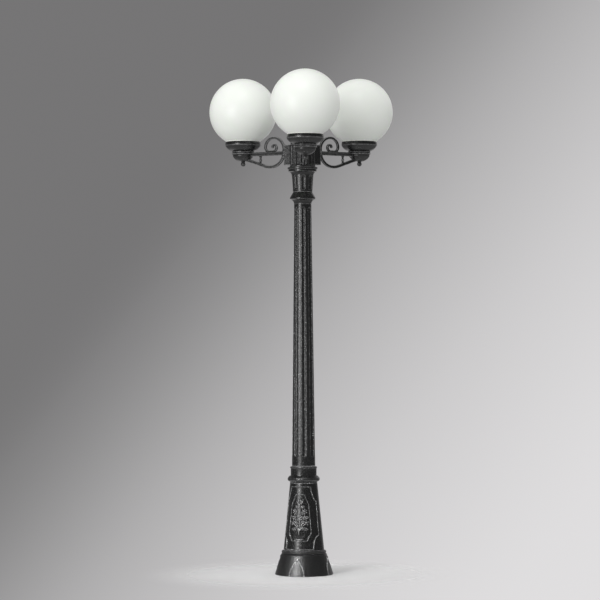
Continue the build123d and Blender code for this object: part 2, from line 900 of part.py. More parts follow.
with BuildPart() as lid_knob:
    with BuildSketch(meridian(0)):
        with BuildLine():
            stud = Polyline(
                (0, hub_ledge),
                (stud_radius, hub_ledge),
                (stud_radius, lid_crown),
                (knob_neck_radius, lid_crown),
                (knob_neck_radius, lid_crown + knob_neck),
            )
            ball = ThreePointArc(stud @ 1, (knob_radius, knob_centre), (0, knob_centre + knob_radius))
            Line(ball @ 1, stud @ 0)
        make_face()
    revolve(axis=Axis.Z)
lid_knob.part.label = "lid_knob"
export_step(lid_knob.part, "parts/lid_knob.step")

# Terminal block under the strap, where the supply joins the three lamp leads.
with BuildPart() as terminal_block:
    with Locations((0, 0, hub_ledge)):
        Box(
            terminal_length,
            terminal_width,
            terminal_height,
            align=(Align.CENTER, Align.CENTER, Align.MAX),
        )
    with Locations(Plane.XZ.offset(terminal_width / 2)):
        with Locations((0, hub_ledge - terminal_height / 2, 0)):
            with GridLocations(terminal_length / terminal_ways, 1, terminal_ways, 1):
                Hole(terminal_hole_radius, depth=terminal_width)
    with Locations((0, 0, hub_ledge)):
        Cylinder(
            stud_radius + push_gap,
            2 * stud_radius,
            align=(Align.CENTER, Align.CENTER, Align.MAX),
            mode=Mode.SUBTRACT,
        )
terminal_block.part.label = "terminal_block"
export_step(terminal_block.part, "parts/terminal_block.step")

# Arm: one casting along +X. A moulded bar runs from its tenon to a bowl-shaped boss under the
# globe holder, and one tapering band makes the volute above the bar and the brace below it.
lamp_axis = Axis((arm_reach, 0, 0), (0, 0, 1))
scroll_left = block_reach + scroll_clear
curl_low = bar_top + scroll_weld
belly_left = curl_low + scroll_curl_radius + scroll_crown_radius - scroll_ring_radius - belly_drop
belly_low = belly_left - belly_radius
brace_in = scroll_left + belly_radius + brace_radius * sin(radians(brace_slope))
brace_low = belly_low + brace_radius * (1 - cos(radians(brace_slope)))
brace_length = (arm_reach - brace_end - brace_in) / cos(radians(brace_slope))
brace_high = brace_low + brace_length * sin(radians(brace_slope))
quarter = 90.0
scroll_stretches = [
    # radius and angle of each turn, or a straight run's length, from the boss to the curl's tip
    (None, brace_length),
    (brace_radius, brace_slope),
    (belly_radius, quarter),
    (None, belly_drop),
    (scroll_ring_radius, quarter),
    (scroll_crown_radius, quarter),
    (scroll_curl_radius, quarter),
    (None, scroll_curl_run),
    (scroll_eye_radius, quarter),
    (scroll_eye_crown_radius, quarter),
    (scroll_tip_radius, quarter),
]
scroll_length = sum(
    amount if radius is None else radius * radians(amount) for radius, amount in scroll_stretches
)


def lamp_meridian(angle):
    """The half plane through a globe's axis: sketch x runs outward from that axis and y up."""
    turn = radians(angle)
    return Plane(
        origin=(arm_reach, 0, 0), x_dir=(cos(turn), sin(turn), 0), z_dir=(sin(turn), -cos(turn), 0)
    )


def band_edges(point, heading, gone):
    """The band's two edges beside a point of its middle line, a given way along it."""
    half = scroll_root_half + (scroll_tip_half - scroll_root_half) * gone / scroll_length
    across = Vector(sin(radians(heading)), -cos(radians(heading))) * half
    return point - across, point + across


def band_stretch(point, heading, gone, radius, amount):
    """Where a part of a stretch ends: its point, heading and way along the band."""
    if radius is None:
        ahead = Vector(cos(radians(heading)), sin(radians(heading)))
        return point + ahead * amount, heading, gone + amount
    centre = point + Vector(sin(radians(heading)), -cos(radians(heading))) * radius
    turned = heading - amount
    end = centre - Vector(sin(radians(turned)), -cos(radians(turned))) * radius
    return end, turned, gone + radius * radians(amount)


with BuildSketch(Plane.XZ) as scroll:
    with BuildLine():
        here = (Vector(arm_reach - brace_end, brace_high), 2 * quarter + brace_slope, 0)
        Line(*band_edges(*here))
        for radius, amount in scroll_stretches:
            middle = band_stretch(*here, radius, amount / 2)
            after = band_stretch(*here, radius, amount)
            for first, through, last in zip(band_edges(*here), band_edges(*middle), band_edges(*after)):
                if radius is None:
                    Line(first, last)
                else:
                    ThreePointArc(first, through, last)
            here = after
        Line(*band_edges(*here))
    make_face()
    with Locations(here[0]):
        Circle(scroll_end_ball)

boss_low = holder_base - boss_height
knuckle_low = brace_low + (knuckle_reach - brace_in) * tan(radians(brace_slope))
knuckle_middle = (knuckle_low + bar_base) / 2

with BuildPart() as arm:
    with BuildSketch(Plane.XY.offset(bar_base)):
        with BuildLine():
            side = Polyline(
                (block_reach, 0),
                (block_reach, bar_root_width / 2),
                (block_reach + bar_taper_length, bar_width / 2),
                (arm_reach - boss_tip_radius, bar_width / 2),
                (arm_reach - boss_tip_radius, 0),
            )
            mirror(side, about=Plane.XZ)
        make_face()
    extrude(amount=bar_height)
    with Locations((arm_reach, bar_width / 2, bar_middle), (arm_reach, -bar_width / 2, bar_middle)):
        Box(
            arm_reach - block_reach - bar_taper_length,
            2 * bar_groove_depth,
            bar_groove_height,
            align=(Align.MAX, Align.CENTER, Align.CENTER),
            mode=Mode.SUBTRACT,
        )
    with Locations((block_reach, 0, bar_middle)):
        Box(
            tenon_length,
            tenon_width,
            tenon_height,
            align=(Align.MAX, Align.CENTER, Align.CENTER),
        )
    extrude(scroll.sketch, amount=scroll_depth / 2, both=True)
    with Locations((knuckle_reach, 0, knuckle_low)):
        Cylinder(
            knuckle_neck,
            bar_base - knuckle_low,
            align=(Align.CENTER, Align.CENTER, Align.MIN),
        )
    with Locations((knuckle_reach, 0, knuckle_middle)):
        Sphere(knuckle_radius)
    with BuildSketch(lamp_meridian(0)):
        with BuildLine():
            crown = Polyline(
                (0, boss_low),
                (0, holder_base),
                (holder_waist_radius, holder_base),
                (holder_waist_radius, holder_base - bead_gap),
            )
            bead = ThreePointArc(
                crown @ 1,
                (bead_radius, holder_base - bead_gap - bead_height / 2),
                (holder_waist_radius, holder_base - bead_gap - bead_height),
            )
            wall = Line(bead @ 1, (boss_bowl_radius, holder_base - boss_bowl_drop))
            bowl = RadiusArc(wall @ 1, (boss_tip_radius, boss_low), boss_bowl_radius)
            Line(bowl @ 1, crown @ 0)
        make_face()
    revolve(axis=lamp_axis)
    with Locations((arm_reach, 0, holder_base)):
        Hole(stem_radius + push_gap, depth=boss_height)
write_round_the_hub(arm.part, "arm")

# Globe holder: a spun dish that stands on the arm's boss, with a ledge for the bayonet ring.
holder_inside = holder_radius - holder_wall
ledge_inside = holder_inside - ring_ledge
ring_screw_circle = (holder_inside + ledge_inside) / 2
ledge_low = ring_base - holder_ledge
floor_top = holder_base + holder_floor
floor_radius = holder_waist_radius - holder_wall

with BuildPart() as holder:
    with BuildSketch(lamp_meridian(0)):
        with BuildLine():
            stem_hole = Polyline(
                (stem_radius + push_gap, floor_top),
                (stem_radius + push_gap, holder_base),
                (holder_waist_radius, holder_base),
                (holder_waist_radius, holder_base + bead_gap / 2),
            )
            bead = ThreePointArc(
                stem_hole @ 1,
                (bead_radius, holder_base + (bead_gap + bead_height) / 2),
                (holder_waist_radius, holder_base + bead_gap / 2 + bead_height),
            )
            waist = Line(bead @ 1, (holder_waist_radius, rim - holder_waist_drop))
            dish = RadiusArc(waist @ 1, (holder_radius, rim - holder_lip), -dish_radius)
            Polyline(
                dish @ 1,
                (holder_radius, rim),
                (holder_inside, rim),
                (holder_inside, ring_base),
                (ledge_inside, ring_base),
                (ledge_inside, ledge_low),
                (floor_radius, floor_top + holder_wall),
                (floor_radius, floor_top),
                stem_hole @ 0,
            )
        make_face()
    revolve(axis=lamp_axis)
    with Locations((arm_reach, 0, ring_base)):
        with PolarLocations(ring_screw_circle, lug_count):
            Hole(ring_screw_radius, depth=ring_screw_length - ring_thickness)
write_round_the_hub(holder.part, "holder")

# Finial: a ball under each boss, whose hollow stem clamps boss and holder against a nut.
finial_ball_centre = boss_low - finial_neck - sqrt(finial_ball_radius**2 - finial_neck_radius**2)

with BuildPart() as finial:
    with BuildSketch(lamp_meridian(0)):
        with BuildLine():
            stem = Polyline(
                (lead_bore, lampholder_base + stem_grip),
                (stem_radius, lampholder_base + stem_grip),
                (stem_radius, boss_low),
                (finial_neck_radius, boss_low),
                (finial_neck_radius, boss_low - finial_neck),
            )
            ball = ThreePointArc(
                stem @ 1,
                (finial_ball_radius, finial_ball_centre),
                (0, finial_ball_centre - finial_ball_radius),
            )
            Polyline(ball @ 1, (0, boss_low), (lead_bore, boss_low), stem @ 0)
        make_face()
    revolve(axis=lamp_axis)
write_round_the_hub(finial.part, "finial")

with BuildPart() as stem_nuts:
    with BuildSketch(Plane.XY.offset(floor_top)):
        with PolarLocations(arm_reach, len(arm_angles), start_angle=arm_angles[0]):
            RegularPolygon(stem_nut_radius, 6)
            Circle(stem_radius, mode=Mode.SUBTRACT)
    extrude(amount=stem_nut_height)
stem_nuts.part.label = "stem_nuts"
export_step(stem_nuts.part, "parts/stem_nuts.step")

# Bayonet ring on the holder's ledge: the globe's lugs drop through its notches and turn under it.
ring_bore = globe_neck_radius + lug_play
lug_tip = globe_neck_radius + lug_reach

with BuildPart() as bayonet_ring:
    with BuildSketch(Plane.XY.offset(ring_base)):
        with Locations((arm_reach, 0)):
            Circle(holder_inside - push_gap)
            Circle(ring_bore, mode=Mode.SUBTRACT)
            with PolarLocations(ring_screw_circle, lug_count):
                Circle(ring_screw_radius + push_gap, mode=Mode.SUBTRACT)
    extrude(amount=ring_thickness)
    for place in range(lug_count):
        start = lug_turn + place * 360 / lug_count - lug_angle / 2 - lug_ease
        with BuildSketch(lamp_meridian(start)):
            Polygon(
                (globe_neck_radius, ring_base),
                (lug_tip + lug_play, ring_base),
                (lug_tip + lug_play, ring_base + ring_thickness),
                (globe_neck_radius, ring_base + ring_thickness),
                align=None,
            )
        revolve(axis=lamp_axis, revolution_arc=lug_angle + 2 * lug_ease, mode=Mode.SUBTRACT)
write_round_the_hub(bayonet_ring.part, "bayonet_ring")

with BuildPart() as ring_screw_set:
    with BuildSketch(Plane.XY.offset(ring_base + ring_thickness)):
        with Locations((arm_reach, 0)):
            with PolarLocations(ring_screw_circle, lug_count):
                Circle(ring_screw_head_radius)
    extrude(amount=ring_screw_head)
    with BuildSketch(Plane.XY.offset(ring_base + ring_thickness)):
        with Locations((arm_reach, 0)):
            with PolarLocations(ring_screw_circle, lug_count):
                Circle(ring_screw_radius)
    extrude(amount=-ring_screw_length)

with BuildPart() as ring_screws:
    with PolarLocations(0, len(arm_angles), start_angle=arm_angles[0]):
        add(ring_screw_set.part)
ring_screws.part.label = "ring_screws"
export_step(ring_screws.part, "parts/ring_screws.step")

# Gasket between the holder's rim and the globe.


def globe_underside(radius, gap):
    """The height of a sphere a gap outside the globe at a radius from the globe's axis."""
    return globe_centre - sqrt((globe_radius + gap) ** 2 - radius**2)


with BuildPart() as gasket:
    with BuildSketch(lamp_meridian(0)):
        Polygon(
            (holder_inside, rim),
            (holder_radius, rim),
            (holder_radius, globe_underside(holder_radius, turning_gap)),
            (holder_inside, globe_underside(holder_inside, turning_gap)),
            align=None,
        )
    revolve(axis=lamp_axis)
write_round_the_hub(gasket.part, "globe_gasket")

# Globe: an opal shell with a short neck and bayonet lugs.
neck_low = ring_base - turning_gap - lug_height
neck_inside = globe_neck_radius - globe_wall
shell_inside = globe_radius - globe_wall

with BuildPart() as globe:
    with BuildSketch(lamp_meridian(0)):
        with BuildLine():
            neck = Polyline(
                (neck_inside, globe_centre - sqrt(shell_inside**2 - neck_inside**2)),
                (neck_inside, neck_low),
                (globe_neck_radius, neck_low),
                (globe_neck_radius, globe_underside(globe_neck_radius, 0)),
            )
            outside = ThreePointArc(
                neck @ 1, (globe_radius, globe_centre), (0, globe_centre + globe_radius)
            )
            crown = Line(outside @ 1, (0, globe_centre + shell_inside))
            ThreePointArc(crown @ 1, (shell_inside, globe_centre), neck @ 0)
        make_face()
    revolve(axis=lamp_axis)
    for place in range(lug_count):
        with BuildSketch(lamp_meridian(place * 360 / lug_count - lug_angle / 2)):
            Polygon(
                (globe_neck_radius - globe_wall / 2, neck_low),
                (lug_tip, neck_low),
                (lug_tip, neck_low + lug_height),
                (globe_neck_radius - globe_wall / 2, neck_low + lug_height),
                align=None,
            )
        revolve(axis=lamp_axis, revolution_arc=lug_angle)
write_round_the_hub(globe.part, "globe")

# Lampholder on the stem, and a bulb with its screw cap.
socket_floor = lampholder_base + lampholder_floor
cap_base = socket_floor + cap_tip

with BuildPart() as lampholder:
    with BuildSketch(lamp_meridian(0)):
        Polygon(
            (stem_radius, lampholder_base),
            (lampholder_foot_radius, lampholder_base),
            (lampholder_radius, lampholder_base + lampholder_foot_height),
            (lampholder_radius, lampholder_top),
            (cap_radius + push_gap, lampholder_top),
            (cap_radius + push_gap, socket_floor),
            (0, socket_floor),
            (0, lampholder_base + stem_grip),
            (stem_radius, lampholder_base + stem_grip),
            align=None,
        )
    revolve(axis=lamp_axis)
write_round_the_hub(lampholder.part, "lampholder")

with BuildPart() as bulb_cap:
    with BuildSketch(lamp_meridian(0)):
        Polygon(
            (0, socket_floor),
            (cap_tip_radius, socket_floor),
            (cap_tip_radius, cap_base),
            (cap_radius, cap_base),
            (cap_radius, cap_base + cap_length),
            (0, cap_base + cap_length),
            align=None,
        )
    revolve(axis=lamp_axis)
write_round_the_hub(bulb_cap.part, "bulb_cap")

bulb_base = cap_base + cap_length
bulb_centre = bulb_base + bulb_height - bulb_radius


def bulb_shoulder(radius):
    """Where the bulb's neck runs into its round head, on a sphere of a radius."""
    turn = radians(bulb_shoulder_angle)
    return radius * cos(turn), bulb_centre - radius * sin(turn)


with BuildPart() as bulb:
    with BuildSketch(lamp_meridian(0)):
        with BuildLine():
            outside = Polyline((cap_radius, bulb_base), bulb_shoulder(bulb_radius))
            head = ThreePointArc(
                outside @ 1, (bulb_radius, bulb_centre), (0, bulb_centre + bulb_radius)
            )
            crown = Line(head @ 1, (0, bulb_centre + bulb_radius - bulb_wall))
            inner_head = ThreePointArc(
                crown @ 1,
                (bulb_radius - bulb_wall, bulb_centre),
                bulb_shoulder(bulb_radius - bulb_wall),
            )
            Polyline(inner_head @ 1, (cap_radius - bulb_wall, bulb_base), outside @ 0)
        make_face()
    revolve(axis=lamp_axis)
write_round_the_hub(bulb.part, "bulb")
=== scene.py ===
import bmesh
import bpy
import numpy as np
from math import asin, cos, degrees, hypot, pi, radians, sin, sqrt, tan
from mathutils import Matrix, Quaternion, Vector


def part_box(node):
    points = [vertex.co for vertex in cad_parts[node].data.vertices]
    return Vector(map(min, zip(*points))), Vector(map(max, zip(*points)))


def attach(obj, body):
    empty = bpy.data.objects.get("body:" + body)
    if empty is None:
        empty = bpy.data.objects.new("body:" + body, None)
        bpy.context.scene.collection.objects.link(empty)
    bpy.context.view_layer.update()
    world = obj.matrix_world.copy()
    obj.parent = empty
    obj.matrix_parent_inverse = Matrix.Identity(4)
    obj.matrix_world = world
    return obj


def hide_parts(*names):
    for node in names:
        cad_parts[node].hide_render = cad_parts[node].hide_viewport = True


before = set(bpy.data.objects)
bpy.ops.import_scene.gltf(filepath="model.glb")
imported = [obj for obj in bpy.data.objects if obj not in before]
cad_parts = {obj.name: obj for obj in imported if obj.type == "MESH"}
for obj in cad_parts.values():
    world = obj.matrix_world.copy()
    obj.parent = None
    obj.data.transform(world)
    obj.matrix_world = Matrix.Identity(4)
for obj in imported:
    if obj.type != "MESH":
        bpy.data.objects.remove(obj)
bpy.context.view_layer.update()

# Foot
# A flared bell of cast aluminium that stands on the ground, sand cast in one piece and sprayed
# black. Its inner floor takes the footing's anchor bolts, and a rolled band finishes its top.
foot_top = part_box("foot")[1].z
foot_radius = 0.127
foot_neck_radius = 0.100
foot_flare_height = 0.091
foot_slope = (foot_radius - foot_neck_radius) / foot_flare_height
foot_floor = 0.012
foot_wall = 0.012
foot_floor_bore = 0.060
foot_top_radius = 0.0893
foot_top_bore = 0.0562
base_angle = radians(-108)
anchor_circle = 0.085
anchor_hole = 0.0065


def softened(corners, closed=True, steps=5):
    """Points through corners of (across, up, fillet), each corner rounded off by its fillet."""
    points = []
    count = len(corners)
    for place, (across, up, fillet) in enumerate(corners):
        here = Vector((across, up))
        if fillet == 0 or not closed and place in (0, count - 1):
            points.append(here)
            continue
        before = Vector(corners[place - 1][:2]) - here
        after = Vector(corners[(place + 1) % count][:2]) - here
        reach = min(fillet, 0.48 * before.length, 0.48 * after.length)
        start = here + before.normalized() * reach
        end = here + after.normalized() * reach
        for step in range(steps + 1):
            way = step / steps
            points.append(start * (1 - way) ** 2 + here * 2 * way * (1 - way) + end * way**2)
    return points


def round_arc(across, up, radius, start, end, steps):
    """Corners along an arc about a point, between two angles in degrees."""
    turns = [radians(start + (end - start) * step / steps) for step in range(steps + 1)]
    return [(across + radius * cos(turn), up + radius * sin(turn), 0) for turn in turns]


def linked(name, data):
    """A new object in the scene."""
    thing = bpy.data.objects.new(name, data)
    bpy.context.scene.collection.objects.link(thing)
    return thing


def baked(name, work):
    """A mesh from a bmesh, which is then freed."""
    mesh = bpy.data.meshes.new(name)
    work.to_mesh(mesh)
    work.free()
    return mesh


def made(name, points, faces, crease=40):
    """An object from points and faces, welded, facing outward, smooth up to a crease angle."""
    mesh = bpy.data.meshes.new(name)
    mesh.from_pydata(points, [], faces)
    work = bmesh.new()
    work.from_mesh(mesh)
    bmesh.ops.remove_doubles(work, verts=work.verts, dist=1e-6)
    bmesh.ops.recalc_face_normals(work, faces=work.faces)
    work.to_mesh(mesh)
    work.free()
    mesh.shade_smooth()
    mesh.set_sharp_from_angle(angle=radians(crease))
    return linked(name, mesh)


def turns_round(steps):
    """Even turns round a circle."""
    return np.arange(steps) * 2 * pi / steps


def wrapped(name, rows, steps, centre=(0, 0)):
    """A closed piece round an upright axis, from rows of (radius or radii, height)."""
    across, along = np.cos(turns_round(steps)), np.sin(turns_round(steps))
    points = np.concatenate(
        [
            np.column_stack(
                (centre[0] + radius * across, centre[1] + radius * along, np.full(steps, height))
            )
            for radius, height in rows
        ]
    )
    row = np.arange(len(rows))[:, None] * steps
    after = np.roll(row, -1, axis=0)
    step = np.arange(steps)
    beside = np.roll(step, -1)
    faces = np.stack((row + step, row + beside, after + beside, after + step), axis=-1)
    return made(name, points.tolist(), faces.reshape(-1, 4).tolist())


def turned(name, corners, steps=144, centre=(0, 0)):
    """A piece turned on a lathe, from the corners of its closed section."""
    return wrapped(name, [tuple(point) for point in softened(corners)], steps, centre)


def rod(work, turn, out, low, high, radius, segments):
    """Add an upright rod to a bmesh, at a turn and a distance from the post's axis."""
    bmesh.ops.create_cone(
        work,
        cap_ends=True,
        segments=segments,
        radius1=radius,
        radius2=radius,
        depth=high - low,
        matrix=Matrix.Translation((out * cos(turn), out * sin(turn), (low + high) / 2)),
    )


def bored(piece, turns, out, radius, low, high):
    """Drill upright holes through a piece, at some turns and a distance from the post's axis."""
    cutter = bmesh.new()
    for turn in turns:
        rod(cutter, turn, out, low, high, radius, 32)
    drill = linked("drill", baked("drill", cutter))
    cut = piece.modifiers.new("holes", "BOOLEAN")
    cut.object = drill
    cut.solver = "EXACT"
    settle(piece)
    bpy.data.objects.remove(drill)


def settle(piece):
    """Apply a piece's modifiers to its mesh."""
    bpy.context.view_layer.update()
    shape = piece.evaluated_get(bpy.context.evaluated_depsgraph_get())
    mesh = bpy.data.meshes.new_from_object(shape)
    piece.modifiers.clear()
    piece.data = mesh


def new_material(name):
    """A material, its node tree and its Principled shader."""
    material = bpy.data.materials.new(name)
    material.use_nodes = True
    tree = material.node_tree
    return material, tree, tree.nodes["Principled BSDF"]


def given(node, **values):
    """Set a node's inputs by name, with an underscore for each space."""
    for label, value in values.items():
        node.inputs[label.replace("_", " ")].default_value = value


def new_group(name, inputs, outputs):
    """A shader node group with named inputs (name, default) and outputs (name, kind)."""
    group = bpy.data.node_groups.new(name, "ShaderNodeTree")
    for label, default in inputs:
        socket = group.interface.new_socket(label, in_out="INPUT", socket_type="NodeSocketFloat")
        socket.default_value = default
    for label, kind in outputs:
        group.interface.new_socket(label, in_out="OUTPUT", socket_type=kind)
    return group, group.nodes.new("NodeGroupInput"), group.nodes.new("NodeGroupOutput")


def noise_in(tree, place, scale, detail, roughness=0.5):
    """A noise texture on object coordinates."""
    noise = tree.nodes.new("ShaderNodeTexNoise")
    given(noise, Detail=detail, Roughness=roughness)
    tree.links.new(place, noise.inputs["Vector"])
    if isinstance(scale, float):
        given(noise, Scale=scale)
    else:
        tree.links.new(scale, noise.inputs["Scale"])
    return noise.outputs["Fac"]


def sums(tree, operation, first, second, third=None):
    """A math node; each term is a number or a socket."""
    node = tree.nodes.new("ShaderNodeMath")
    node.operation = operation
    for term, socket in zip((first, second, third), node.inputs):
        if term is None:
            continue
        if isinstance(term, (int, float)):
            socket.default_value = term
        else:
            tree.links.new(term, socket)
    return node.outputs[0]


def banded(tree, value, low, high, out_low, out_high):
    """A value mapped from one range to another, and held at its ends."""
    node = tree.nodes.new("ShaderNodeMapRange")
    node.interpolation_type = "SMOOTHSTEP"
    tree.links.new(value, node.inputs["Value"])
    given(node, From_Min=low, From_Max=high, To_Min=out_low, To_Max=out_high)
    return node.outputs["Result"]


def blended(tree, share, first, second):
    """A colour that goes from one to another by a share."""
    node = tree.nodes.new("ShaderNodeMix")
    node.data_type = "RGBA"
    tree.links.new(share, node.inputs["Factor"])
    for term, socket in ((first, node.inputs["A"]), (second, node.inputs["B"])):
        if isinstance(term, tuple):
            socket.default_value = (*term, 1)
        else:
            tree.links.new(term, socket)
    return node.outputs["Result"]


# The skin that sand leaves on a casting: shallow lumps, fine grain and a few pits.
cast_skin, skin_in, skin_out = new_group(
    "cast_skin",
    [("Lump Scale", 120.0), ("Grain Scale", 480.0)],
    [("Height", "NodeSocketFloat"), ("Speckle", "NodeSocketFloat")],
)
skin_place = cast_skin.nodes.new("ShaderNodeTexCoord").outputs["Object"]
lumps = noise_in(cast_skin, skin_place, skin_in.outputs["Lump Scale"], 2.0)
grain = noise_in(cast_skin, skin_place, skin_in.outputs["Grain Scale"], 3.0, 0.6)
skin_height = sums(cast_skin, "MULTIPLY_ADD", lumps, 0.8, sums(cast_skin, "MULTIPLY", grain, 0.2))
cast_skin.links.new(skin_height, skin_out.inputs["Height"])
cast_skin.links.new(banded(cast_skin, skin_height, 0.44, 0.6, 0.0, 1.0), skin_out.inputs["Speckle"])

# Proud edges painted lighter in patches, partly paint worn thin and partly a painted highlight, and
# hollows painted darker as painted shade.
edge_wear_highlight_and_shade, edge_light_in, edge_light_out = new_group(
    "edge_wear_highlight_and_shade",
    [("Start", 0.52), ("Full", 0.58)],
    [("Worn And Highlit", "NodeSocketFloat"), ("Hollow Shade", "NodeSocketFloat")],
)
pointed = edge_wear_highlight_and_shade.nodes.new("ShaderNodeNewGeometry").outputs["Pointiness"]
edge_light_range = edge_wear_highlight_and_shade.nodes.new("ShaderNodeMapRange")
edge_wear_highlight_and_shade.links.new(pointed, edge_light_range.inputs["Value"])
edge_wear_highlight_and_shade.links.new(edge_light_in.outputs["Start"], edge_light_range.inputs["From Min"])
edge_wear_highlight_and_shade.links.new(edge_light_in.outputs["Full"], edge_light_range.inputs["From Max"])
edge_patch_place = edge_wear_highlight_and_shade.nodes.new("ShaderNodeTexCoord").outputs["Object"]
patches = banded(edge_wear_highlight_and_shade, noise_in(edge_wear_highlight_and_shade, edge_patch_place, 90.0, 3.0), 0.38, 0.6, 0.35, 1.0)
# Lighter proud edges: worn paint and a painted highlight.
worn_and_highlit_edges = sums(edge_wear_highlight_and_shade, "MULTIPLY", edge_light_range.outputs["Result"], patches)
edge_wear_highlight_and_shade.links.new(worn_and_highlit_edges, edge_light_out.inputs["Worn And Highlit"])
# Darker hollows: painted shade.
edge_wear_highlight_and_shade.links.new(banded(edge_wear_highlight_and_shade, pointed, 0.40, 0.49, 1.0, 0.0), edge_light_out.inputs["Hollow Shade"])


def placed(tree, group, **values):
    """A node group in a material, with its own values."""
    node = tree.nodes.new("ShaderNodeGroup")
    node.node_tree = group
    given(node, **values)
    return node.outputs


def bumped(tree, shader, height, strength, distance):
    """Give a shader the relief of a height."""
    bump = tree.nodes.new("ShaderNodeBump")
    given(bump, Strength=strength, Distance=distance)
    tree.links.new(height, bump.inputs["Height"])
    tree.links.new(bump.outputs["Normal"], shader.inputs["Normal"])


def black_paint(name, edge_light_start, edge_light_full, skin_depth, dull=0.36, bright=0.25):
    """Black paint on castings, with their sand skin showing through it, proud edges lighter as worn
    paint and painted highlight, and painted shade in hollows.
    """
    material, paint, shader = new_material(name)
    skin = placed(paint, cast_skin)
    edge_light = placed(paint, edge_wear_highlight_and_shade, Start=edge_light_start, Full=edge_light_full)
    coat = blended(paint, skin["Speckle"], (0.0020, 0.0020, 0.0021), (0.0065, 0.0065, 0.0068))
    # Proud edges go to a pale grey: worn paint and a painted highlight.
    coat = blended(paint, edge_light["Worn And Highlit"], coat, (0.46, 0.46, 0.465))
    # Hollows go darker: painted shade.
    coat = blended(paint, edge_light["Hollow Shade"], coat, (0.002, 0.002, 0.002))
    paint.links.new(coat, shader.inputs["Base Color"])
    gloss = banded(paint, skin["Speckle"], 0.0, 1.0, dull, bright)
    paint.links.new(gloss, shader.inputs["Roughness"])
    given(shader, Specular_IOR_Level=0.9)
    bumped(paint, shader, skin["Height"], 0.9, skin_depth)
    return material


def dressed(piece, material, body, slot, *nodes):
    """Give a piece its material, the body it rides on and the CAD nodes it stands for."""
    piece.data.materials.clear()
    piece.data.materials.append(material)
    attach(piece, body)
    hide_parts(*nodes)
    return piece


def finished(material, *nodes):
    """Give carried-over CAD nodes a material."""
    for node in nodes:
        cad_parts[node].data.materials.clear()
        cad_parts[node].data.materials.append(material)


band_low, band_high, band_radius = 0.093, 0.106, 0.098
foot = turned(
    "foot_bell",
    [
        (foot_floor_bore, 0, 0.001),
        (foot_radius, 0, 0.002),
        (foot_neck_radius, foot_flare_height, 0.003),
        (band_radius - 0.005, foot_flare_height + 0.001, 0.001),
        (band_radius - 0.004, band_low, 0.001),
        (band_radius, band_low + 0.002, 0.004),
        (band_radius, band_high - 0.002, 0.004),
        (band_radius - 0.006, band_high, 0.002),
        (foot_top_radius, band_high, 0.001),
        (foot_top_radius, foot_top, 0.0005),
        (foot_top_bore, foot_top, 0.0005),
        (foot_top_bore, foot_top - foot_wall, 0.001),
        (foot_neck_radius - foot_wall, foot_top - foot_wall, 0.004),
        (foot_neck_radius - foot_wall, foot_flare_height, 0.004),
        (foot_radius - foot_slope * foot_floor - foot_wall, foot_floor, 0.004),
        (foot_floor_bore, foot_floor, 0.001),
    ],
)
anchor_turns = [base_angle + place * pi / 2 for place in range(4)]
bored(foot, anchor_turns, anchor_circle, anchor_hole, -foot_floor, 2 * foot_floor)
# Sprayed near the ground: a duller and smoother coat.
foot_black = black_paint(
    "foot_black", edge_light_start=0.520, edge_light_full=0.565, skin_depth=0.0007, dull=0.46, bright=0.36
)
dressed(foot, foot_black, "post", "black_casting", "foot")

# Anchor covers
# Four arched plates of cast aluminium, let into the foot over the anchor nuts. Each has a raised
# rounded border and a round tab at its point, and one screw through the tab holds it.
arch_half_width = 0.037
arch_apex = 0.073
arch_border = 0.008
cover_rise = 0.002
cover_field = -0.0012
cover_depth = -0.0030
cover_sill = 0.0015
tab_height = 0.078
tab_radius = 0.0065
cover_steps = 24


def arch_edge(inset):
    """Points (across, up) round a pointed arch, from its left sill to its right sill."""
    half = arch_half_width - inset
    apex = arch_apex - inset
    sweep = (half**2 + apex**2) / (2 * half)
    points = []
    for step in range(cover_steps + 1):
        up = cover_sill + (apex - cover_sill) * step / cover_steps
        points.append((sweep - half - sqrt(sweep**2 - up**2), up))
    return points + [(-across, up) for across, up in reversed(points[:-1])]


def on_flare(across, up, rise, turn):
    """A point on the foot's flare: across its face, up, and proud of it by a rise."""
    radius = foot_radius - foot_slope * up + rise
    out = sqrt(radius**2 - across**2)
    return (out * cos(turn) - across * sin(turn), out * sin(turn) + across * cos(turn), up)


def strips(rings, width, start=0, closed=True):
    """Four-sided faces between rings of points, each as many points long as the width."""
    faces = []
    for ring in range(rings - 1):
        low = start + ring * width
        for step in range(width if closed else width - 1):
            beside = (step + 1) % width
            faces.append((low + step, low + beside, low + width + beside, low + width + step))
    return faces


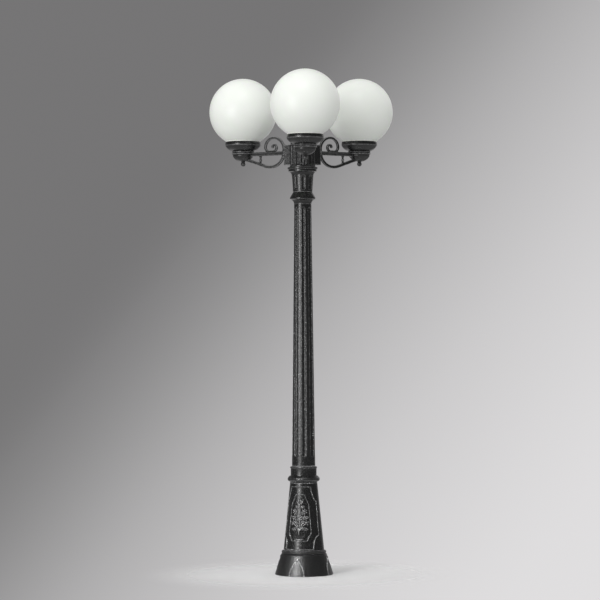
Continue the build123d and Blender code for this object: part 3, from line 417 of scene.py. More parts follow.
def cover_plate(turn):
    """The points and faces of one cover: rings from its edge in to its middle line."""
    rings = [
        (0.0003, cover_depth),
        (0.0003, cover_rise - 0.0016),
        (0.0008, cover_rise - 0.0005),
        (0.0018, cover_rise),
        (arch_border - 0.0024, cover_rise),
        (arch_border - 0.0012, cover_rise - 0.0005),
        (arch_border - 0.0006, cover_rise - 0.0014),
        (arch_border, cover_field),
        (arch_border + 0.006, cover_field),
        (arch_border + 0.012, cover_field),
        (arch_border + 0.018, cover_field),
        (arch_half_width - 0.001, cover_field),
    ]
    points = []
    for inset, rise in rings:
        points += [on_flare(across, up, rise, turn) for across, up in arch_edge(inset)]
    width = 2 * cover_steps + 1
    faces = strips(len(rings), width, closed=False)
    last = (len(rings) - 1) * width
    end = last + width - 1
    for step in range(cover_steps):
        faces.append((last + step, last + step + 1, end - 1 - step, end - step))
    sill = [ring * width for ring in range(len(rings))]
    faces.append(sill + [here + width - 1 for here in reversed(sill)])
    faces.append(list(range(width)))
    start = len(points)
    tab_rings = [(tab_radius, cover_depth), (tab_radius, cover_rise - 0.001)]
    tab_rings += [(tab_radius - 0.001, cover_rise), (0.0001, cover_rise)]
    for radius, rise in tab_rings:
        for step in range(cover_steps):
            way = 2 * pi * step / cover_steps
            points.append(on_flare(radius * cos(way), tab_height + radius * sin(way), rise, turn))
    faces += strips(len(tab_rings), cover_steps, start)
    faces.append(list(range(start, start + cover_steps)))
    faces.append(list(range(len(points) - cover_steps, len(points))))
    return points, faces


cover_points, cover_faces = [], []
for turn in anchor_turns:
    points, faces = cover_plate(turn)
    cover_faces += [[corner + len(cover_points) for corner in face] for face in faces]
    cover_points += points
covers = made("anchor_cover_plates", cover_points, cover_faces)
dressed(covers, foot_black, "post", "black_casting", "anchor_covers")

# Blackened steel of the screws that show, lighter on the heads' proud edges: a little worn, and a
# painted highlight.
screw_black, screw_tree, screw_shader = new_material("screw_black")
screw_edge_light = placed(screw_tree, edge_wear_highlight_and_shade, Start=0.51, Full=0.58)
screw_colour = blended(screw_tree, screw_edge_light["Worn And Highlit"], (0.012, 0.012, 0.012), (0.05, 0.05, 0.05))
screw_tree.links.new(screw_colour, screw_shader.inputs["Base Color"])
screw_tree.links.new(
    banded(screw_tree, screw_edge_light["Worn And Highlit"], 0.0, 1.0, 0.42, 0.28), screw_shader.inputs["Roughness"]
)
given(screw_shader, Metallic=0.6)
finished(screw_black, "cover_screws")

# Pedestal
# A tapered hollow casting in aluminium that stands on the foot, sprayed black with it. Its front
# and back carry a scooped panel, and a sunk field in each holds a vase of flowers cast in relief.
pedestal_low, pedestal_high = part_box("pedestal")
pedestal_base = foot_top
pedestal_radius = foot_top_radius
pedestal_top_radius = 0.060
pedestal_steps = 600
pedestal_rows = 300
edge_soft = 0.0011
panel_low = pedestal_base + 0.008
panel_high = pedestal_high.z - 0.017
panel_half_angle = radians(68)
panel_depth = 0.0035
panel_top_scoop = (0.024, 0.062)
panel_bottom_scoop = (0.035, 0.060)
field_depth = 0.0035
field_corners = [
    (0.019, pedestal_high.z - 0.050),
    (0.039, pedestal_high.z - 0.094),
    (0.052, pedestal_base + 0.078),
    (0.037, pedestal_base + 0.045),
]


def eased(distance, soft):
    """0 outside an edge and 1 inside it, with a slope as wide as soft on each side."""
    way = np.clip(distance / (2 * soft) + 0.5, 0, 1)
    return way * way * (3 - 2 * way)


def leaf(across, up, root, angle, length, width, rise):
    """The height of a pointed leaf with a folded midrib, from its root at an angle in degrees."""
    turn = radians(angle)
    along = (across - root[0]) * sin(turn) + (up - root[1]) * cos(turn)
    side = (across - root[0]) * cos(turn) - (up - root[1]) * sin(turn)
    way = np.clip(along / length, 0, 1)
    half = width / 2 * np.sin(pi * way**0.8) + 1e-6
    body = np.sqrt(np.clip(1 - (side / half) ** 2, 0, 1)) * np.sin(pi * way) ** 0.5
    fold = 1 - 0.45 * np.exp(-((side / (0.12 * width)) ** 2))
    return np.where((along > 0) & (along < length), rise * body * fold, 0)


def blossom(across, up, middle, radius, petals, rise):
    """The height of an open flower: a ring of rounded petals about a raised eye."""
    away = np.hypot(across - middle[0], up - middle[1])
    turn = np.arctan2(across - middle[0], up - middle[1])
    edge = radius * (0.78 + 0.22 * np.cos(petals * turn))
    cup = np.clip(1 - (away / edge) ** 2, 0, 1) ** 0.5
    grooves = 0.72 + 0.28 * np.cos(petals * turn)
    eye = np.sqrt(np.clip(1 - (away / (0.34 * radius)) ** 2, 0, 1))
    return rise * np.maximum(cup * grooves * (0.55 + 0.45 * away / radius), 0.95 * eye)


def stalk(across, up, start, end, bow, width, rise):
    """The height of a bowed round stalk between two points."""
    height = np.zeros_like(up)
    middle = ((start[0] + end[0]) / 2 + bow, (start[1] + end[1]) / 2)
    for step in range(25):
        way = step / 24
        x = start[0] * (1 - way) ** 2 + middle[0] * 2 * way * (1 - way) + end[0] * way**2
        y = start[1] * (1 - way) ** 2 + middle[1] * 2 * way * (1 - way) + end[1] * way**2
        away = np.hypot(across - x, up - y)
        height = np.maximum(height, rise * np.sqrt(np.clip(1 - (away / width) ** 2, 0, 1)))
    return height


side_leaves = [
    # root out from the middle and over the vase's mouth, angle, length, width, rise
    (0.008, 0.000, 96, 0.036, 0.017, 0.0052),
    (0.004, 0.016, 44, 0.030, 0.016, 0.0048),
    (0.014, 0.044, 78, 0.031, 0.017, 0.0054),
    (0.010, 0.058, 30, 0.030, 0.014, 0.0046),
    (0.002, 0.090, 72, 0.025, 0.014, 0.0050),
    (0.000, 0.107, 42, 0.026, 0.015, 0.0058),
]


def vase_of_flowers(across, up):
    """The relief in the sunk field: a round vase with stalks, leaves and blossoms over it."""
    foot_up = pedestal_base + 0.048
    belly = foot_up + 0.030
    mouth = foot_up + 0.050
    bowl = np.sqrt(np.clip(1 - (across / 0.028) ** 2 - ((up - belly) / 0.025) ** 2, 0, 1))
    height = 0.0056 * bowl * (1 + 0.16 * np.cos(across / 0.0042) * (up < belly + 0.012))
    for level, half, thick in ((foot_up + 0.003, 0.020, 0.004), (mouth + 0.002, 0.020, 0.004)):
        rim = np.clip(1 - ((up - level) / thick) ** 2, 0, 1) * (np.abs(across) < half)
        height = np.maximum(height, 0.0052 * np.sqrt(rim))
    root = (0.0, mouth)
    heart = (0.0, mouth + 0.046)
    crown = (0.0, mouth + 0.107)
    shapes = [
        stalk(across, up, root, crown, 0.005, 0.0030, 0.0042),
        blossom(across, up, heart, 0.0165, 6, 0.0068),
        leaf(across, up, crown, 0, 0.034, 0.017, 0.0062),
    ]
    for side in (-1, 1):
        low_head = (side * 0.031, mouth + 0.026)
        high_head = (side * 0.024, mouth + 0.074)
        shapes += [
            stalk(across, up, root, low_head, side * 0.006, 0.0026, 0.0038),
            stalk(across, up, root, high_head, side * 0.014, 0.0026, 0.0038),
            blossom(across, up, low_head, 0.0150, 5, 0.0066),
            blossom(across, up, high_head, 0.0125, 6, 0.0062),
        ]
        for out, over, angle, *sizes in side_leaves:
            shapes.append(leaf(across, up, (side * out, mouth + over), side * angle, *sizes))
    return np.maximum.reduce([height, *shapes])


def pedestal_radii(turns, up):
    """The pedestal's outer radius at each turn of a row."""
    share = (up - pedestal_base) / (pedestal_high.z - pedestal_base)
    face = pedestal_radius + (pedestal_top_radius - pedestal_radius) * share
    radii = np.full(len(turns), face)
    for front in (base_angle, base_angle + pi):
        away = (turns - front + pi) % (2 * pi) - pi
        side = (panel_half_angle - np.abs(away)) * face
        corner = face * np.sin(panel_half_angle - np.abs(away))
        inside = np.minimum.reduce([side, np.full_like(side, up - panel_low)])
        inside = np.minimum(inside, panel_high - up)
        for (half, tall), level in ((panel_top_scoop, panel_high), (panel_bottom_scoop, panel_low)):
            ring = np.hypot(corner / half, (up - level) / tall)
            slope = np.hypot(corner / half**2, (up - level) / tall**2) / np.maximum(ring, 1e-6)
            inside = np.minimum(inside, (ring - 1) / np.maximum(slope, 1e-6))
        inside = np.where(np.abs(away) < pi / 2, inside, -1)
        across = face * np.sin(away)
        sunk = np.minimum(field_corners[0][1] - up, up - field_corners[-1][1])
        sunk = np.full_like(across, sunk)
        for (x0, z0), (x1, z1) in zip(field_corners, field_corners[1:]):
            run = hypot(x1 - x0, z1 - z0)
            edge = ((x0 - np.abs(across)) * (z0 - z1) + (x1 - x0) * (z0 - up)) / run
            sunk = np.minimum(sunk, edge)
        sunk = np.where(np.abs(away) < pi / 2, sunk, -1)
        radii -= panel_depth * eased(inside, edge_soft) + field_depth * eased(sunk, edge_soft)
        flowers = vase_of_flowers(across, np.full_like(across, up))
        radii += flowers * eased(sunk - 0.002, 0.0012)
    return radii


pedestal_turns = turns_round(pedestal_steps)
pedestal_levels = np.linspace(pedestal_base + 0.0005, pedestal_high.z - 0.0005, pedestal_rows)
pedestal_bore = 0.050
pedestal_spigot = 0.056
pedestal_floor = pedestal_base + 0.010
pedestal_chamber_top = pedestal_high.z - 0.014
pole_root_hole = 0.0322
pedestal_section = [(pedestal_radii(pedestal_turns, level), level) for level in pedestal_levels]
pedestal_section += [
    (pedestal_top_radius - 0.001, pedestal_high.z),
    (pole_root_hole, pedestal_high.z),
    (pole_root_hole, pedestal_chamber_top),
    (pedestal_top_radius - 0.012, pedestal_chamber_top),
    (pedestal_radius - 0.013, pedestal_floor),
    (pedestal_bore, pedestal_floor),
    (pedestal_bore, pedestal_low.z),
    (pedestal_spigot, pedestal_low.z),
    (pedestal_spigot, pedestal_base),
    (pedestal_radius - 0.001, pedestal_base),
]
# The relief takes the knocks, so its crests and edges are lighter over a wider range: worn paint
# and a painted highlight.
pedestal_black = black_paint("pedestal_black", edge_light_start=0.508, edge_light_full=0.550, skin_depth=0.0006)
pedestal = wrapped("pedestal_casting", pedestal_section, pedestal_steps)
dressed(pedestal, pedestal_black, "post", "black_casting", "pedestal")

# Pedestal bolts, pole washer and locknut
# Zinc-plated steel: hexagon bolts and nuts that clamp the pedestal to the foot, and the large
# washer and nut inside the pedestal that draw the pole down.


def clouded(name, noise, first, second, roughness):
    """A material whose colour drifts between two; the noise is (scale, detail, roughness)."""
    material, tree, shader = new_material(name)
    place = tree.nodes.new("ShaderNodeTexCoord").outputs["Object"]
    cloud = noise_in(tree, place, *noise)
    tree.links.new(blended(tree, cloud, first, second), shader.inputs["Base Color"])
    given(shader, Roughness=roughness)
    return material, tree, shader, cloud


def clouded_metal(name, scale, first, second, shiny, dull):
    """Bare or plated metal, with its colour and polish drifting in soft clouds."""
    material, tree, shader, cloud = clouded(name, (scale, 4.0, 0.6), first, second, shiny)
    tree.links.new(banded(tree, cloud, 0.3, 0.7, shiny, dull), shader.inputs["Roughness"])
    given(shader, Metallic=1.0)
    return material


zinc_steel = clouded_metal(
    "zinc_steel", 60.0, (0.42, 0.44, 0.46), (0.62, 0.63, 0.64), shiny=0.28, dull=0.46
)
finished(zinc_steel, "pedestal_bolts", "pedestal_nuts", "pole_washer", "pole_locknut")

# Pole collar
# A cast aluminium ring that slides over the pole's root, with a bold bead under a plain band. It
# hides the joint between pedestal and pole, and the pole's shoulder holds it down.
collar_low, collar_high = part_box("pole_collar")
collar_bead = collar_high.x
collar_radius = 0.057
collar_bore = 0.0472
collar_band = collar_low.z + 0.030
# Proud edges such as flute edges and ring lines are painted lighter: wear and a painted highlight.
casting_black = black_paint("casting_black", edge_light_start=0.513, edge_light_full=0.562, skin_depth=0.0008)
collar = turned(
    "pole_collar_ring",
    [
        (collar_bore, collar_low.z, 0.001),
        (pedestal_top_radius, collar_low.z, 0.001),
        (pedestal_top_radius, collar_low.z + 0.004, 0.001),
        (collar_bead - 0.0005, collar_low.z + 0.010, 0.006),
        (collar_bead, collar_low.z + 0.0205, 0.005),
        (collar_radius + 0.005, collar_band, 0.004),
        (collar_radius, collar_band + 0.001, 0.002),
        (collar_radius, collar_high.z - 0.008, 0.002),
        (collar_radius + 0.0025, collar_high.z - 0.0055, 0.002),
        (collar_radius + 0.0025, collar_high.z - 0.0015, 0.002),
        (collar_radius - 0.002, collar_high.z, 0.001),
        (collar_bore, collar_high.z, 0.001),
    ],
)
dressed(collar, casting_black, "post", "black_casting", "pole_collar")

# Pole
# A long tapered casting in aluminium with round-ended flutes, hollow for the cable. Its shoulder
# stands on the collar, its root passes down to the locknut, and its spigot takes the capital.
pole_low, pole_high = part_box("pole")
pole_base = collar_high.z
pole_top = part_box("neck_ring")[0].z
pole_radius = 0.0514
pole_top_radius = 0.0383
pole_bore = 0.024
pole_spigot = 0.030
pole_root = 0.032
pole_seat = 0.047
pole_steps = 240
flute_count = 8
flute_arc = radians(23)
flute_depth = 0.005
flute_soft = 0.0006
flute_angle = radians(-88.5)
flute_low = pole_base + 0.055
flute_high = pole_top - 0.023


def fluted(turns, up, face, low, high, depth, angle):
    """The radii of a row with round-ended flutes cut in a tapered face, with softened edges."""
    held = min(max(up, low), high)
    cutter = ((face(held) * sin(flute_arc / 2)) ** 2 + depth**2) / (2 * depth)
    centre = face(held) * cos(flute_arc / 2) - depth + cutter
    half_pitch = pi / flute_count
    away = (turns - angle + half_pitch) % (2 * half_pitch) - half_pitch
    reach = cutter**2 - (up - held) ** 2 - (centre * np.sin(away)) ** 2
    cut = centre * np.cos(away) - np.sqrt(np.clip(reach, 0, None))
    plain = np.full(len(turns), face(up))
    share = np.clip(0.5 + (plain - cut) / (2 * flute_soft), 0, 1)
    joined = plain + (cut - plain) * share - flute_soft * share * (1 - share)
    return np.where(reach > 0, np.minimum(joined, plain), plain)


def pole_face(up):
    """The pole's outer radius at a height."""
    share = (up - pole_base) / (pole_top - pole_base)
    return pole_radius + (pole_top_radius - pole_radius) * share


pole_turns = turns_round(pole_steps)
flute_end_reach = 0.018
flute_run_in = 0.004
edge_break = 0.0008
pole_levels = np.concatenate(
    [
        np.linspace(pole_base + edge_break, flute_low - flute_end_reach, 6, endpoint=False),
        np.linspace(flute_low - flute_end_reach, flute_low + flute_run_in, 36, endpoint=False),
        np.linspace(flute_low + flute_run_in, flute_high - flute_run_in, 120, endpoint=False),
        np.linspace(flute_high - flute_run_in, pole_top - edge_break, 30),
    ]
)
pole_cut = (pole_face, flute_low, flute_high, flute_depth, 0.0)
pole_section = [(fluted(pole_turns, level, *pole_cut), level) for level in pole_levels]
pole_section += [
    (pole_top_radius - edge_break, pole_top),
    (pole_spigot, pole_top),
    (pole_spigot, pole_high.z),
    (pole_bore, pole_high.z),
    (pole_bore, pole_low.z),
    (pole_root, pole_low.z),
    (pole_root, collar_low.z),
    (pole_seat, collar_low.z),
    (pole_seat, pole_base),
    (pole_radius - edge_break, pole_base),
]
pole = wrapped("pole_casting", pole_section, pole_steps)
pole.data.transform(Matrix.Rotation(flute_angle, 4, "Z"))
dressed(pole, casting_black, "post", "black_casting", "pole")

# Neck ring
# A cast aluminium ring threaded over the pole's top spigot: a cove, a bold bead and a sloping top
# that the capital stands on.
neck_low, neck_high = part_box("neck_ring")
neck_bead = neck_high.x
spigot_bore = 0.0302
neck_top_radius = 0.0425
neck = turned(
    "neck_ring_casting",
    [
        (spigot_bore, neck_low.z, 0.001),
        (pole_top_radius, neck_low.z, 0.0015),
        *round_arc(neck_bead + 0.004, neck_low.z - 0.0015, 0.0226, 172, 102, 10),
        (neck_bead - 0.001, neck_low.z + 0.0215, 0.002),
        (neck_bead, neck_low.z + 0.0255, 0.003),
        (neck_bead - 0.001, neck_low.z + 0.0292, 0.002),
        (neck_top_radius, neck_high.z - 0.001, 0.002),
        (neck_top_radius - 0.0015, neck_high.z, 0.001),
        (spigot_bore, neck_high.z, 0.001),
    ],
)
dressed(neck, casting_black, "post", "black_casting", "neck_ring")

# Capital
# A waisted casting in aluminium under a stepped flange, with flutes in line with the pole's. Four
# set screws sunk in its flutes hold it on the pole, and the head turns on the spigot on its top.
capital_low, capital_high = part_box("capital")
capital_base = capital_low.z
capital_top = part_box("hub")[0].z - 0.0003
capital_radius = 0.043
capital_waist = 0.048
capital_waist_top = capital_base + 0.073
capital_flange = 0.0663
flange_lip = 0.0623
capital_flute_depth = 0.0045
swivel_spigot = 0.034
flange_base = capital_top - 0.018
capital_steps = 240


def capital_face(up):
    """The capital's outer radius at a height on its waist."""
    share = (up - capital_base) / (capital_waist_top - capital_base)
    return capital_radius + (capital_waist - capital_radius) * share


capital_flute_low = capital_base + 0.0175
capital_flute_high = capital_waist_top - 0.010
capital_cut = (
    capital_face, capital_flute_low, capital_flute_high, capital_flute_depth, flute_angle
)
capital_turns = turns_round(capital_steps)
waist_levels = np.linspace(capital_base + edge_break, capital_waist_top, 60)
capital_section = [(fluted(capital_turns, level, *capital_cut), level) for level in waist_levels]
capital_upper = softened(
    [
        (capital_waist, capital_waist_top, 0),
        *round_arc(0.0650, capital_waist_top + 0.0005, 0.0168, 172, 98, 8),
        (flange_lip, flange_base, 0.001),
        (flange_lip, flange_base + 0.0085, 0.001),
        (capital_flange, flange_base + 0.0100, 0.002),
        (capital_flange, capital_top, 0.002),
        (swivel_spigot, capital_top, 0.0005),
        (swivel_spigot, capital_high.z, 0.002),
        (pole_bore, capital_high.z, 0.001),
        (pole_bore, pole_high.z, 0),
        (spigot_bore, pole_high.z, 0),
        (spigot_bore, capital_base, 0.0005),
        (capital_radius - edge_break, capital_base, 0),
    ],
    closed=False,
)
capital_section += [tuple(point) for point in capital_upper[1:]]
capital = wrapped("capital_casting", capital_section, capital_steps)
dressed(capital, casting_black, "post", "black_casting", "capital")
finished(screw_black, "capital_screws")

# Hub
# A ribbed drum cast in aluminium that turns on the capital's spigot. Three framed blocks on its
# sides take the arms' tenons, and the chamber inside holds the wiring. Set screws lock it.
hub_low, hub_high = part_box("hub")
hub_radius = 0.050
hub_base_radius = 0.057
hub_rim_radius = 0.054
hub_chamber = 0.045
hub_bore = 0.0343
hub_floor = hub_low.z + 0.038
rib_count = 15
rib_radius = 0.0045
rib_low, rib_high = hub_low.z + 0.007, hub_high.z - 0.004
block_heart = 0.040
block_root = 0.046
block_reach = 0.087
block_width = 0.030
block_base = capital_top + 0.012
block_frame = 0.005
block_recess = 0.0025
arm_turns = [radians(angle) for angle in (-90, 30, 150)]
fuse_grain = 0.0012
fuse_smoothing = 4


def slab(work, low, high, turn):
    """Add a box between two corners to a bmesh, turned about the post's axis."""
    size = Vector(high) - Vector(low)
    middle = (Vector(high) + Vector(low)) / 2
    place = Matrix.Rotation(turn, 4, "Z") @ Matrix.Translation(middle) @ Matrix.Diagonal((*size, 1))
    bmesh.ops.create_cube(work, size=1, matrix=place)


def fused(name, pieces):
    """One casting from overlapping pieces, with soft fillets where they meet."""
    work = bmesh.new()
    for piece in pieces:
        work.from_mesh(piece.data)
        bpy.data.objects.remove(piece)
    casting = linked(name, baked(name, work))
    remesh = casting.modifiers.new("fuse", "REMESH")
    remesh.mode = "VOXEL"
    remesh.voxel_size = fuse_grain
    remesh.use_smooth_shade = True
    soften = casting.modifiers.new("soften", "SMOOTH")
    soften.factor = 0.5
    soften.iterations = fuse_smoothing
    settle(casting)
    return casting


drum = turned(
    "hub_drum",
    [
        (hub_bore, hub_low.z, 0.0005),
        (hub_base_radius, hub_low.z, 0.002),
        (hub_base_radius, hub_low.z + 0.008, 0.002),
        (hub_radius, hub_low.z + 0.011, 0.002),
        (hub_radius, hub_high.z - 0.008, 0.002),
        (hub_rim_radius, hub_high.z - 0.005, 0.002),
        (hub_rim_radius, hub_high.z, 0.0015),
        (hub_chamber, hub_high.z, 0.001),
        (hub_chamber, hub_floor, 0),
        (hub_bore, hub_floor, 0),
    ],
)
blocks = bmesh.new()
half = block_width / 2
core = half - block_recess
block_top = hub_high.z
frame_edge = 0.001
frame_bars = [
    # the bars of a block's frame, as (nearest, furthest, low, high)
    (block_root, block_root + 0.0095, block_base, block_top),
    (block_reach - block_frame, block_reach, block_base, block_top),
    (block_root, block_reach, block_base, block_base + block_frame),
    (block_root, block_reach, block_top - block_frame, block_top),
]
for turn in arm_turns:
    slab(blocks, (block_heart, -core, block_base), (block_reach, core, block_top), turn)
    for left, right in ((-half, -core + frame_edge), (core - frame_edge, half)):
        for near, far, low, high in frame_bars:
            slab(blocks, (near, left, low), (far, right, high), turn)
for rib in range(rib_count):
    turn = arm_turns[0] + 2 * pi * rib / rib_count
    rod(blocks, turn, hub_radius, rib_low, rib_high, rib_radius, 24)
block_piece = linked("hub_blocks", baked("hub_blocks", blocks))
# The hub's ribs and the arms' edges are painted lighter: wear and a painted highlight.
fused_black = black_paint(
    "fused_casting_black", edge_light_start=0.512, edge_light_full=0.552, skin_depth=0.0007
)
hub = fused("hub_casting", [drum, block_piece])
dressed(hub, fused_black, "head", "black_casting", "hub")
finished(screw_black, "swivel_screws", "arm_screws")

# Hub lid, knob and terminal block
# A low cast dome that keeps the rain out of the hub. It sits on a rubber gasket, and its ball knob
# has a stud that screws into a steel strap inside, over the plastic terminal block.
lid_low, lid_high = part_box("hub_lid")
lid_radius = 0.054
stud_hole = 0.0032
lid = turned(
    "hub_lid_dome",
    [
        (stud_hole, lid_high.z, 0.0003),
        (0.009, lid_high.z, 0.004),
        (0.030, lid_high.z - 0.0042, 0.014),
        (lid_radius, lid_low.z + 0.0035, 0.003),
        (lid_radius, lid_low.z, 0.001),
        (hub_chamber, lid_low.z, 0.001),
        (0.026, lid_high.z - 0.0086, 0.012),
        (stud_hole, lid_high.z - 0.004, 0.001),
    ],
)
dressed(lid, casting_black, "head", "black_casting", "hub_lid")
knob_low, knob_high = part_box("lid_knob")
knob_ball = 0.009
knob_stud = 0.003
knob_centre = knob_high.z - knob_ball
knob = turned(
    "lid_knob_ball",
    [
        (0, knob_low.z, 0),
        (knob_stud, knob_low.z, 0),
        (knob_stud, lid_high.z, 0),
        (0.0072, lid_high.z, 0.001),
        (0.006, lid_high.z + 0.002, 0.001),
        *round_arc(0, knob_centre, knob_ball, -48, 90, 20),
    ],
    64,
)
dressed(knob, casting_black, "head", "black_casting", "lid_knob")

rubber_black, rubber, rubber_shader, rubber_grain = clouded(
    "rubber_black", (900.0, 2.0), (0.014, 0.014, 0.014), (0.030, 0.030, 0.030), 0.75
)
bumped(rubber, rubber_shader, rubber_grain, 0.3, 0.0003)
finished(rubber_black, "lid_gasket")
finished(zinc_steel, "lid_strap")

terminal_white = clouded(
    "terminal_plastic", (300.0, 3.0), (0.74, 0.73, 0.68), (0.82, 0.81, 0.77), 0.45
)[0]
finished(terminal_white, "terminal_block")

# Arms
# Each arm is one aluminium casting: a moulded bar from its tenon to the bowl-shaped boss under a
# globe, and a tapering band that curls in a volute above the bar and braces it from below.
arm_reach = 0.300
boss_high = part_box("holder_1")[0].z
bar_top = boss_high
bar_height = 0.018
bar_middle = bar_top - bar_height / 2
bar_half = 0.009
bar_root_half = 0.014
bar_taper = 0.060
tenon_half_width, tenon_half_height = 0.008, 0.007
tenon_depth = 0.026
scroll_left = block_reach + 0.006
scroll_half_depth = 0.006
scroll_root_half = 0.007
scroll_tip_half = 0.0045
scroll_tip_ball = 0.0070
curl_low = bar_top + 0.001
belly_drop = 0.011
belly_radius = 0.066
ring_radius, crown_radius, curl_radius = 0.052, 0.041, 0.019
belly_left = curl_low + curl_radius + crown_radius - ring_radius - belly_drop
brace_radius = 0.090
brace_slope = 19.0
brace_in = scroll_left + belly_radius + brace_radius * sin(radians(brace_slope))
brace_low = belly_left - belly_radius + brace_radius * (1 - cos(radians(brace_slope)))
brace_end = arm_reach - 0.022
brace_length = (brace_end - brace_in) / cos(radians(brace_slope))
scroll_stretches = [
    # radius and turn of each bend, or none and the length of a straight run
    (None, brace_length),
    (brace_radius, brace_slope),
    (belly_radius, 90),
    (None, belly_drop),
    (ring_radius, 90),
    (crown_radius, 90),
    (curl_radius, 90),
    (None, 0.020),
    (0.017, 90),
    (0.012, 90),
    (0.008, 90),
]


def scroll_line(step):
    """Points (out, up, heading) along the middle of the scroll's band, a step apart."""
    out = brace_end
    up = brace_low + brace_length * sin(radians(brace_slope))
    heading = radians(180 + brace_slope)
    line = [(out, up, heading)]
    for radius, amount in scroll_stretches:
        length = amount if radius is None else radius * radians(amount)
        pieces = max(3, round(length / step))
        for _ in range(pieces):
            bend = 0 if radius is None else length / pieces / radius
            middle = heading - bend / 2
            chord = length / pieces if radius is None else 2 * radius * sin(bend / 2)
            out += chord * cos(middle)
            up += chord * sin(middle)
            heading -= bend
            line.append((out, up, heading))
    return line


def lofted(name, rings):
    """A closed piece through rings of points, capped at both ends."""
    width = len(rings[0])
    points = [point for ring in rings for point in ring]
    faces = strips(len(rings), width)
    faces.append(list(range(width)))
    faces.append(list(range(len(points) - width, len(points))))
    return made(name, points, faces)


def rounded_bar_section(half_across, half_deep, fillet):
    """Points (across, deep) round a rectangle with rounded corners."""
    corners = [(half_across, half_deep), (-half_across, half_deep)]
    corners += [(-half_across, -half_deep), (half_across, -half_deep)]
    return softened([(*corner, fillet) for corner in corners], steps=4)


scroll_points = scroll_line(0.004)
scroll_rings = []
for place, (out, up, heading) in enumerate(scroll_points):
    share = place / (len(scroll_points) - 1)
    half = scroll_root_half + (scroll_tip_half - scroll_root_half) * share
    section = rounded_bar_section(half, scroll_half_depth, 0.0022)
    scroll_rings.append(
        [
            (out + across * sin(heading), deep, up - across * cos(heading))
            for across, deep in section
        ]
    )
scroll = lofted("arm_scroll", scroll_rings)
tip_out, tip_up, _ = scroll_points[-1]
tip_ball = turned("arm_scroll_tip", round_arc(0, 0, scroll_tip_ball, -90, 90, 16), 32)
tip_ball.data.transform(Matrix.Translation((tip_out, 0, tip_up)))


def bar_section(half):
    """Points (across, up) round the bar: rounded top and bottom beads with a groove between."""
    side = [
        (half, -bar_height / 2, 0.003),
        (half, -0.002, 0.0015),
        (half - 0.0025, -0.002, 0.0005),
        (half - 0.0025, 0.002, 0.0005),
        (half, 0.002, 0.0015),
        (half, bar_height / 2, 0.003),
    ]
    return softened(side + [(-across, up, fillet) for across, up, fillet in reversed(side)])


bar = lofted(
    "arm_bar",
    [
        [(out, across, bar_middle + up) for across, up in bar_section(half)]
        for out, half in (
            (block_reach, bar_root_half),
            (block_reach + bar_taper, bar_half),
            (arm_reach - 0.010, bar_half),
        )
    ],
)
tenon_section = rounded_bar_section(tenon_half_width, tenon_half_height, 0.0005)
tenon = lofted(
    "arm_tenon",
    [
        [(out, across, bar_middle + up) for across, up in tenon_section]
        for out in (block_reach - tenon_depth, block_reach + 0.002)
    ],
)
knuckle_out = 0.211
knuckle_end, knuckle_neck, knuckle_ball = 0.006, 0.004, 0.007
knuckle_low = brace_low + (knuckle_out - brace_in) * tan(radians(brace_slope))
knuckle_middle = (knuckle_low + bar_middle - bar_height / 2) / 2
knuckle = turned(
    "arm_knuckle",
    [
        (0, knuckle_low - 0.002, 0),
        (knuckle_end, knuckle_low + 0.003, 0.002),
        (knuckle_neck, knuckle_middle - 0.0062, 0.001),
        *round_arc(0, knuckle_middle, knuckle_ball, -55, 55, 10),
        (knuckle_neck, knuckle_middle + 0.0062, 0.001),
        (knuckle_end, bar_middle - bar_height / 2, 0.002),
        (0, bar_middle, 0),
    ],
    32,
    (knuckle_out, 0),
)
boss_waist = 0.0475
boss_bead = 0.0505
bead_radius = 0.0028
boss_foot = boss_high - 0.039
boss = turned(
    "arm_boss",
    [
        (0, boss_high, 0),
        (boss_waist, boss_high, 0.0006),
        (boss_waist, boss_high - 0.002, 0.0005),
        *round_arc(boss_bead - bead_radius, boss_high - 0.0045, bead_radius, 75, -75, 10),
        (boss_waist - 0.001, boss_high - 0.0078, 0.0008),
        (0.0450, boss_high - 0.0168, 0.002),
        *round_arc(0.0059, boss_high + 0.0053, 0.0450, -29.7, -79.6, 12),
        (0, boss_foot, 0),
    ],
    96,
    (arm_reach, 0),
)
arm = fused("arm_casting", [bar, tenon, scroll, tip_ball, knuckle, boss])


def set_round_the_hub(piece, name, material, slot, node, body="head"):
    """One piece for each arm, from a piece made along +X, standing for that arm's CAD node."""
    for number, turn in enumerate(arm_turns, start=1):
        copy = linked(f"{name}_{number}", piece.data.copy())
        copy.data.transform(Matrix.Rotation(turn, 4, "Z"))
        rides = body if body == "head" else f"{body}_{number}"
        dressed(copy, material, rides, slot, f"{node}_{number}")
    bpy.data.objects.remove(piece)


set_round_the_hub(arm, "arm_casting", fused_black, "black_casting", "arm")

